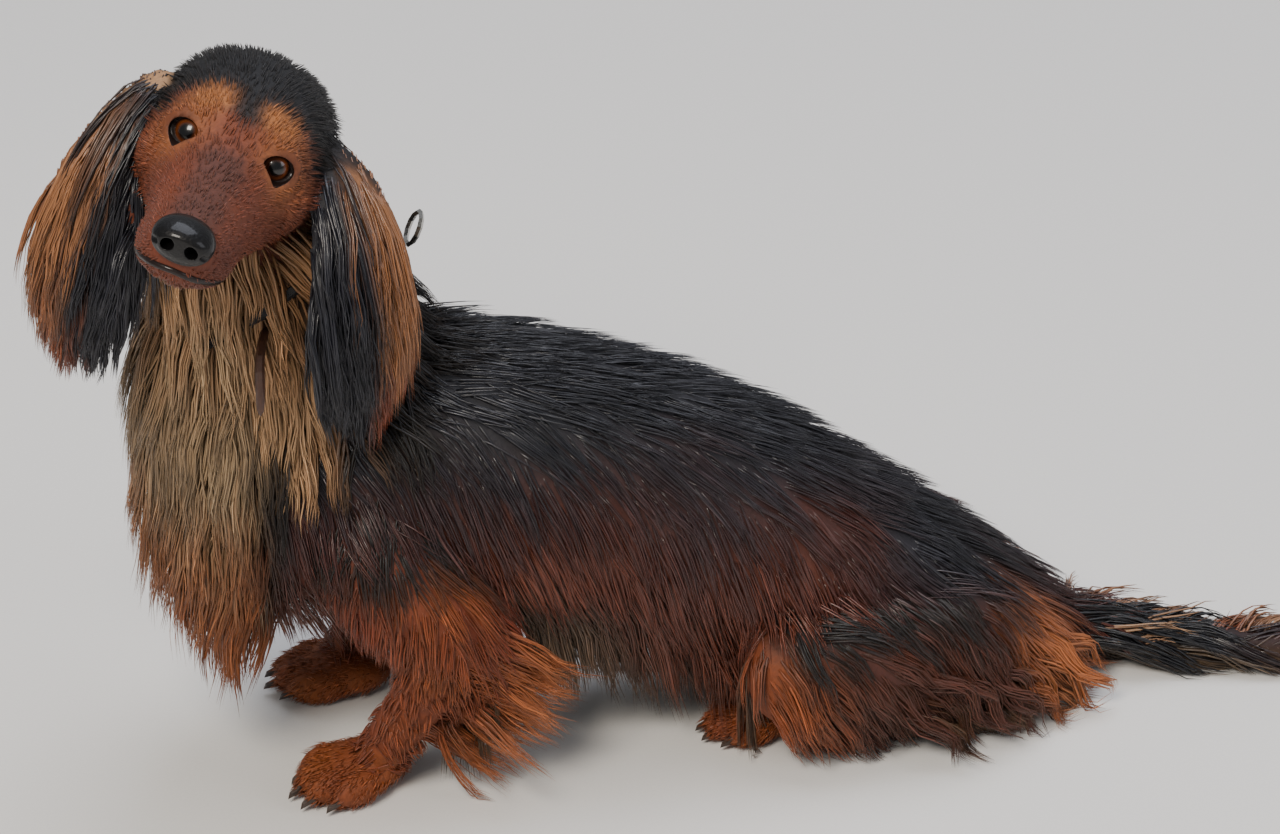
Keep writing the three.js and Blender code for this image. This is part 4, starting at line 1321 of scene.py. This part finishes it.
def horn_material():
    """Claw horn: dark and smooth with fine lengthwise growth lines."""
    material, tree = new_material("claw_horn")
    place = add(tree, "ShaderNodeTexCoord")
    # growth lines about 0.4 mm apart
    stretch = add(
        tree, "ShaderNodeMapping", {"Vector": place.outputs["Object"], "Scale": (200.0, 1600.0, 1600.0)}
    )
    lines = add(tree, "ShaderNodeTexNoise", {"Vector": stretch.outputs[0], "Scale": 1.0, "Detail": 2.0})
    tint = add(
        tree, "ShaderNodeMix",
        {"Factor": lines.outputs["Fac"], 6: rgba(tone("#15100e")), 7: rgba(tone("#4b3a30"))},
        data_type="RGBA"
    )
    bump = add(tree, "ShaderNodeBump", {"Height": lines.outputs["Fac"], "Strength": 0.3, "Distance": 0.0002})
    shader = add(
        tree, "ShaderNodeBsdfPrincipled",
        {"Base Color": tint.outputs[2], "Roughness": 0.35, "IOR": 1.54, "Normal": bump.outputs[0]}
    )
    finish_material(tree, shader)
    return material


def webbing_material():
    """Woven black nylon webbing of the collar: slightly shiny yarns in a plain weave."""
    material, tree = new_material("nylon_webbing")
    place = add(tree, "ShaderNodeTexCoord")
    # yarns about 0.8 mm apart
    warp = add(
        tree, "ShaderNodeTexWave", {"Vector": place.outputs["Object"], "Scale": 400.0, "Distortion": 0.6},
        bands_direction="Z"
    )
    weft = add(
        tree, "ShaderNodeTexWave", {"Vector": place.outputs["Object"], "Scale": 400.0, "Distortion": 0.6},
        bands_direction="X"
    )
    weave = add(
        tree, "ShaderNodeMath", {0: warp.outputs["Fac"], 1: weft.outputs["Fac"]}, operation="MULTIPLY"
    )
    tint = add(
        tree, "ShaderNodeMix",
        {"Factor": weave.outputs[0], 6: rgba(tone("#0c0c0e")), 7: rgba(tone("#2a2a2f"))}, data_type="RGBA"
    )
    bump = add(tree, "ShaderNodeBump", {"Height": weave.outputs[0], "Strength": 0.6, "Distance": 0.0003})
    shader = add(
        tree, "ShaderNodeBsdfPrincipled",
        {"Base Color": tint.outputs[2], "Roughness": 0.55, "IOR": 1.53, "Normal": bump.outputs[0]}
    )
    finish_material(tree, shader)
    return material


def leather_material():
    """Brown saddle leather of the strap's end: smooth, waxed and slightly uneven in tone."""
    material, tree = new_material("waxed_leather")
    place = add(tree, "ShaderNodeTexCoord")
    # pores and creases about 1.5 mm apart
    creases = add(
        tree, "ShaderNodeTexNoise", {"Vector": place.outputs["Object"], "Scale": 650.0, "Detail": 4.0}
    )
    tint = add(
        tree, "ShaderNodeMix",
        {"Factor": creases.outputs["Fac"], 6: rgba(tone("#241510")), 7: rgba(tone("#4d2f20"))},
        data_type="RGBA"
    )
    bump = add(
        tree, "ShaderNodeBump", {"Height": creases.outputs["Fac"], "Strength": 0.4, "Distance": 0.0002}
    )
    shader = add(
        tree, "ShaderNodeBsdfPrincipled",
        {"Base Color": tint.outputs[2], "Roughness": 0.45, "IOR": 1.5, "Normal": bump.outputs[0]}
    )
    finish_material(tree, shader)
    return material


def steel_material():
    """Bent and polished steel wire of the collar ring, with fine handling scratches."""
    material, tree = new_material("polished_steel")
    place = add(tree, "ShaderNodeTexCoord")
    scratches = add(
        tree, "ShaderNodeTexNoise", {"Vector": place.outputs["Object"], "Scale": 900.0, "Detail": 5.0}
    )
    rough = add(
        tree, "ShaderNodeMapRange", {"Value": scratches.outputs["Fac"], "To Min": 0.12, "To Max": 0.4}
    )
    shader = add(
        tree, "ShaderNodeBsdfPrincipled",
        {"Base Color": rgba(tone("#b9b7b2")), "Metallic": 1.0, "Roughness": rough.outputs[0]}
    )
    finish_material(tree, shader)
    return material


def paper_floor_material():
    """A seamless sheet of pale matt paper, with a faint fibre."""
    material, tree = new_material("pale_paper")
    place = add(tree, "ShaderNodeTexCoord")
    fibre = add(
        tree, "ShaderNodeTexNoise", {"Vector": place.outputs["Object"], "Scale": 700.0, "Detail": 3.0}
    )
    tint = add(
        tree, "ShaderNodeMix",
        {"Factor": fibre.outputs["Fac"], 6: rgba(tone("#dcdad6")), 7: rgba(tone("#e4e2de"))},
        data_type="RGBA"
    )
    shader = add(tree, "ShaderNodeBsdfPrincipled", {"Base Color": tint.outputs[2], "Roughness": 0.9})
    finish_material(tree, shader)
    return material


long_hair = hair_material("long_black_hair", 0.32, 0.03, tone("#8f98b8"), 0.55)
tan_hair = hair_material("long_tan_hair", 0.42, 0.08, tone("#e0b890"), 0.4)
face_hair = hair_material("short_face_hair", 0.48, 0.05, tone("#c8b8a8"), 0.35)
finish_with(skin, skin_material())


# Sockets for the eyes, cut when the coat's roots are settled
def cut_sockets(rim):
    shells = []
    for s in SIDES.values():
        at, look, out, up = eye_axes(s)
        ball = Ball(at, (EYE_RADIUS + 0.25,) * 3)
        shells.append(ball.shell(24, 32))
    cutter = make_mesh("sockets", *join(shells))
    openings = []
    for s in SIDES.values():
        at, look, out, up = eye_axes(s)
        inner, centre = at + look * 5, at + look * (EYE_RADIUS + 1)
        tip = centre + look * 8
        opening = Form(
            [(*inner, 7.2, 5.4), (*centre, 7.6, 5.8), (*tip, 8.6, 7.0)], up=tuple(up), in_head=True
        )
        openings.append(opening.shell(16, 28))
    wedge = make_mesh("openings", *join(openings))
    for tool in (cutter, wedge):
        tool.data.materials.append(rim)
        cut_with(skin, tool).material_mode = "TRANSFER"
    settle(skin)
    for tool in (cutter, wedge):
        bpy.data.objects.remove(tool)
    # the coat is darkest on the rims of the lids
    p = points_of(skin)
    # painted shade: the skin takes the coat's colours made darker, for the shade seen between the tufts
    colours = body_colours(p) * 0.8
    for s in SIDES.values():
        away = np.linalg.norm(to_head(p) - eye_axes(s)[0], axis=1)
        colours = mix(colours, np.array(FACE_BROWN) * 0.4, ramp(16.5, 12.0, away))
    paint(skin, "coat", colours)


rim_skin = moist_skin_material("dark_rim_skin", "#1c1412", 0.8, 0.4, 0.25, 0.0002)
cut_sockets(rim_skin)
FLESH = ["head", "neck", "torso", "tail"]
FLESH += [f"{part}_{side}" for part in ("ear", "foreleg", "hindleg", "forepaw", "hindpaw") for side in SIDES]
ride(skin, "black_coat", *FLESH)


# The face: eyes, rims of the lids, dark line of the lips and nose
def make_eye(name, s, material):
    at, look, out, up = eye_axes(s)
    points, faces = Ball(at, (EYE_RADIUS,) * 3).shell(48, 64)
    eye = make_mesh("eyeball_" + name, points, faces)
    d = unit(to_head(points) - at)
    angle = np.arccos(np.clip(d @ look, -1, 1))
    round_it = np.arctan2(d @ up, d @ out)
    layer = eye.data.attributes.new("iris", "FLOAT_VECTOR", "POINT")
    values = np.stack([angle / math.radians(62), np.cos(round_it) * 2, np.sin(round_it) * 2], -1)
    layer.data.foreach_set("vector", values.ravel())
    # the cornea stands slightly proud of the ball
    bulge = 0.55 * np.exp(-((angle / 0.55) ** 2))
    move_points(eye, from_head(to_head(points) + look * bulge[:, None]))
    eye.data.materials.append(material)
    ride(eye, "eye", "eye_" + name)


def make_lids(name, s, material):
    lids = lid_ring(s, *LID_RIM, 48)
    a = np.linspace(0, 2 * math.pi, 48, endpoint=False)
    thick = 1.5 + 0.5 * np.maximum(0, np.sin(a)) + 0.3 * np.abs(np.cos(a)) ** 6
    rim = make_mesh("lid_rims_" + name, *hoop(lids, thick, 10))
    rim.data.materials.append(material)
    ride(rim, "face_coat")


MOUTH_HALF = [(-12, 27.5, -37), (-32, 24.2, -38.5), (-55, 20.6, -37), (-75, 16.4, -33.5), (-87, 9, -31)]


def make_lip_line(material):
    path = [(x, -y, z) for x, y, z in MOUTH_HALF] + [(-91.5, 0, -30)] + [
        (x, y, z) for x, y, z in MOUTH_HALF[::-1]
    ]
    line = from_head(line_through(path, 8))
    at, way, _ = nearest_skin(line)
    share = np.linspace(-1, 1, len(line))
    thick = 0.7 + 0.9 * (1 - np.abs(share) ** 3)
    lips = make_mesh("lip_line", *hoop(at - way * 0.15, thick, 8, closed=False))
    lips.data.materials.append(material)
    ride(lips, "nose_leather")


NOSE = [
    (-101.5, 0, -18.5, 7.5, 5, 6.5), (-98, 0, -16.8, 12.4, 8.2, 9), (-91, 0, -15.5, 13.2, 9, 9),
    (-83, 0, -14, 11, 7, 7)
]


def make_nose(material):
    pad = make_mesh("nose_pad", *Form(NOSE, in_head=True).shell(40, 48))
    cuts = []
    for s in SIDES.values():
        cuts.append(
            Form(
                [
                    (-104, 4.4 * s, -17.5, 2.9, 3.2), (-98, 6.4 * s, -17, 2.4, 2.8),
                    (-93, 10.5 * s, -16, 1.7, 1.6)
                ],
                in_head=True
            ).shell(14, 16)
        )
        cuts.append(
            Form(
                [
                    (-100, 9 * s, -17.5, 0.9, 1.0), (-97.5, 12.2 * s, -18.5, 0.9, 1.2),
                    (-93, 15 * s, -17.5, 0.7, 1.0)
                ],
                in_head=True
            ).shell(10, 10)
        )
    groove = [(-104.5, 0, -15, 0.55, 0.9), (-104, 0, -20, 0.7, 1.1), (-101, 0, -25.5, 0.6, 1.0)]
    cuts.append(Form(groove, up=(-1, 0, 0), in_head=True).shell(10, 10))
    tool = make_mesh("nostrils", *join(cuts))
    cut_with(pad, tool).use_self = True
    fuse(pad, NOSE_VOXEL)
    bpy.data.objects.remove(tool)
    finish_with(pad, material)
    ride(pad, "nose_leather", "nose")


wet_eye = eye_material()
# pebbles of the nose leather about 1 mm across
nose_leather = moist_skin_material("moist_nose_leather", "#070607", 1.0, 0.5, 0.35, 0.0004)
for name, s in SIDES.items():
    make_eye(name, s, wet_eye)
    make_lids(name, s, rim_skin)
make_lip_line(rim_skin)
make_nose(nose_leather)

FINISHES = {
    "claw": horn_material(), "collar_ring": steel_material(), "collar_end": leather_material(),
    "collar": webbing_material()
}
for name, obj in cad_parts.items():
    finish = next((made for start, made in FINISHES.items() if name.startswith(start)), None)
    if finish:
        finish_with(obj, finish)


# The coat. Each form comes with its count of tufts and its rule.
def head_parts():
    short = dict(HEAD_RULE, steps=2)
    parts = [(forms["skull"], 7800, HEAD_RULE)]
    for name, s in SIDES.items():
        parts.append((Ball(eye_axes(s)[0], (13.4,) * 3), 900, dict(short, length=same(3.2), slack=2.4)))
        parts += [
            (forms["brow_" + name], 500, short), (forms["cheek_" + name], 700, HEAD_RULE),
            (forms["flew_" + name], 500, short)
        ]
    return parts


SEEDS = dict(head=101, ear=110, foreleg=120, thigh=130, fringe=140, paw=150, body=161)
THROAT_HEIGHT = 316


def along_trunk(low, high):
    return dict(TRUNK_RULE, where=lambda at, uv: (at[:, 0] >= low) & (at[:, 0] < high))


def below_throat(at, uv):
    return at[:, 2] < THROAT_HEIGHT


def feather_tips(p):
    return mix(FEATHER_TAN, ORANGE, ramp(60, 90, p[:, 2]))


coat_piece("coat_head", "face_coat", face_hair, head_parts(), SEEDS["head"])
for i, (name, s) in enumerate(SIDES.items()):
    ear_parts = [(forms["ear_" + name], 3300, ear_rule(name))]
    coat_piece("coat_ear_" + name, "black_coat", long_hair, ear_parts, SEEDS["ear"] + i)
    feather_rule = dict(
        leg_rule(s), lie=fixed(1.0, 0.12 * s, -0.62), length=same(58), tips=feather_tips, slack=18,
        droop=0.05, lift=6, rise=0.1, close=0.65, wave=1.6
    )
    leg_parts = [
        (forms["foreleg_" + name], 2500, dict(leg_rule(s), steps=4)),
        (feather_form(s), 1100, feather_rule)
    ]
    coat_piece("coat_foreleg_" + name, "tan_coat", tan_hair, leg_parts, SEEDS["foreleg"] + i)
    thigh_parts = [
        (forms["thigh_" + name], 2100, dict(thigh_rule(s), steps=4)),
        (breeches_form(s), 1000, breeches_rule(s)),
        (forms["hindfoot_" + name], 420, dict(PAW_RULE, lie=paw_lie("hindpaw_" + name))),
    ]
    coat_piece("coat_thigh_" + name, "tan_coat", tan_hair, thigh_parts, SEEDS["thigh"] + i)
    fringe_rule = dict(
        TRUNK_RULE, lie=fixed(0.2, 0.1 * s, -1.0), length=same(64), lift=4, droop=0.3, wave=1.6,
        width=1.25, steps=4, slack=22
    )
    fringe_parts = [(fringe_form(s), 1700, fringe_rule)]
    coat_piece("coat_fringe_" + name, "black_coat", long_hair, fringe_parts, SEEDS["fringe"] + i)
for i, name in enumerate(PAWS):
    rule = dict(PAW_RULE, lie=paw_lie(name))
    parts = [(forms[f"{name}_{j}"], 620 if j == 0 else 220, rule) for j in range(5)]
    coat_piece("coat_" + name, "tan_coat", tan_hair, parts, SEEDS["paw"] + i)
plume_rule = dict(TAIL_RULE, lie=fixed(0.75, 0.8, -0.15), slack=12, colour=plume_colours)
tail_parts = [(forms["tail"], 1600, TAIL_RULE), (plume_form(), 1300, plume_rule)]
BODY_PIECES = [
    ("coat_neck", "fawn_coat", tan_hair, [(forms["neck"], 3600, dict(NECK_RULE, where=below_throat))]),
    ("coat_apron", "fawn_coat", tan_hair, [(forms["apron"], 4600, dict(APRON_RULE, steps=5))]),
    ("coat_back", "black_coat", long_hair, [(forms["trunk"], 7600, along_trunk(-1000, 120))]),
    ("coat_rump", "black_coat", long_hair, [(forms["trunk"], 7600, along_trunk(120, 1000))]),
    ("coat_tail", "black_coat", long_hair, tail_parts),
]
for i, (name, slot, hair, parts) in enumerate(BODY_PIECES):
    coat_piece(name, slot, hair, parts, SEEDS["body"] + i)


# Floor, light and camera
def make_floor():
    mesh = bpy.data.meshes.new("floor")
    mesh.from_pydata([(-8, -8, 0), (8, -8, 0), (8, 8, 0), (-8, 8, 0)], [], [(0, 1, 2, 3)])
    floor = bpy.data.objects.new("floor", mesh)
    bpy.context.scene.collection.objects.link(floor)
    mesh.materials.append(paper_floor_material())


def soft_box(name, at, towards, size, power, code):
    light = bpy.data.lights.new(name, "AREA")
    light.shape, light.size, light.energy, light.color = "SQUARE", size, power, tone(code)
    made = bpy.data.objects.new(name, light)
    made.location = at
    made.rotation_euler = (Vector(towards) - Vector(at)).to_track_quat("-Z", "Y").to_euler()
    bpy.context.scene.collection.objects.link(made)


make_floor()
# place and aim, size in metres, power in watts and colour
soft_box("key", (-1.2, -1.6, 2.2), (-0.05, 0.0, 0.15), 1.0, 80, "#fff6ea")
soft_box("sky", (0.4, 0.6, 2.4), (0.0, 0.0, 0.1), 1.8, 45, "#eef2ff")
soft_box("fill", (1.9, -1.4, 1.2), (0.1, 0.0, 0.1), 1.2, 14, "#f4f6ff")
world = bpy.data.worlds.new("studio")
world.use_nodes = True
world.node_tree.nodes["Background"].inputs["Color"].default_value = rgba(tone("#dfe2e6"))
world.node_tree.nodes["Background"].inputs["Strength"].default_value = 0.4
bpy.context.scene.world = world
bpy.context.scene.view_settings.view_transform = "AgX"

# The camera stands where the photograph was taken from, in the dog's own frame.
CAMERA_AT = (-277.9, -2113.3, 1345.7)
CAMERA_TILT, CAMERA_TURN = 61.0, -11.2
PIXELS_WIDE, FOCAL_PIXELS, SENSOR = 1280, 5528, 36.0
camera_data = bpy.data.cameras.new("camera")
camera_data.sensor_width = SENSOR
camera_data.lens = FOCAL_PIXELS * SENSOR / PIXELS_WIDE
camera = bpy.data.objects.new("camera", camera_data)
camera.location = metres(CAMERA_AT)
camera.rotation_euler = Euler((math.radians(CAMERA_TILT), 0, math.radians(CAMERA_TURN)))
bpy.context.scene.collection.objects.link(camera)
bpy.context.scene.camera = camera
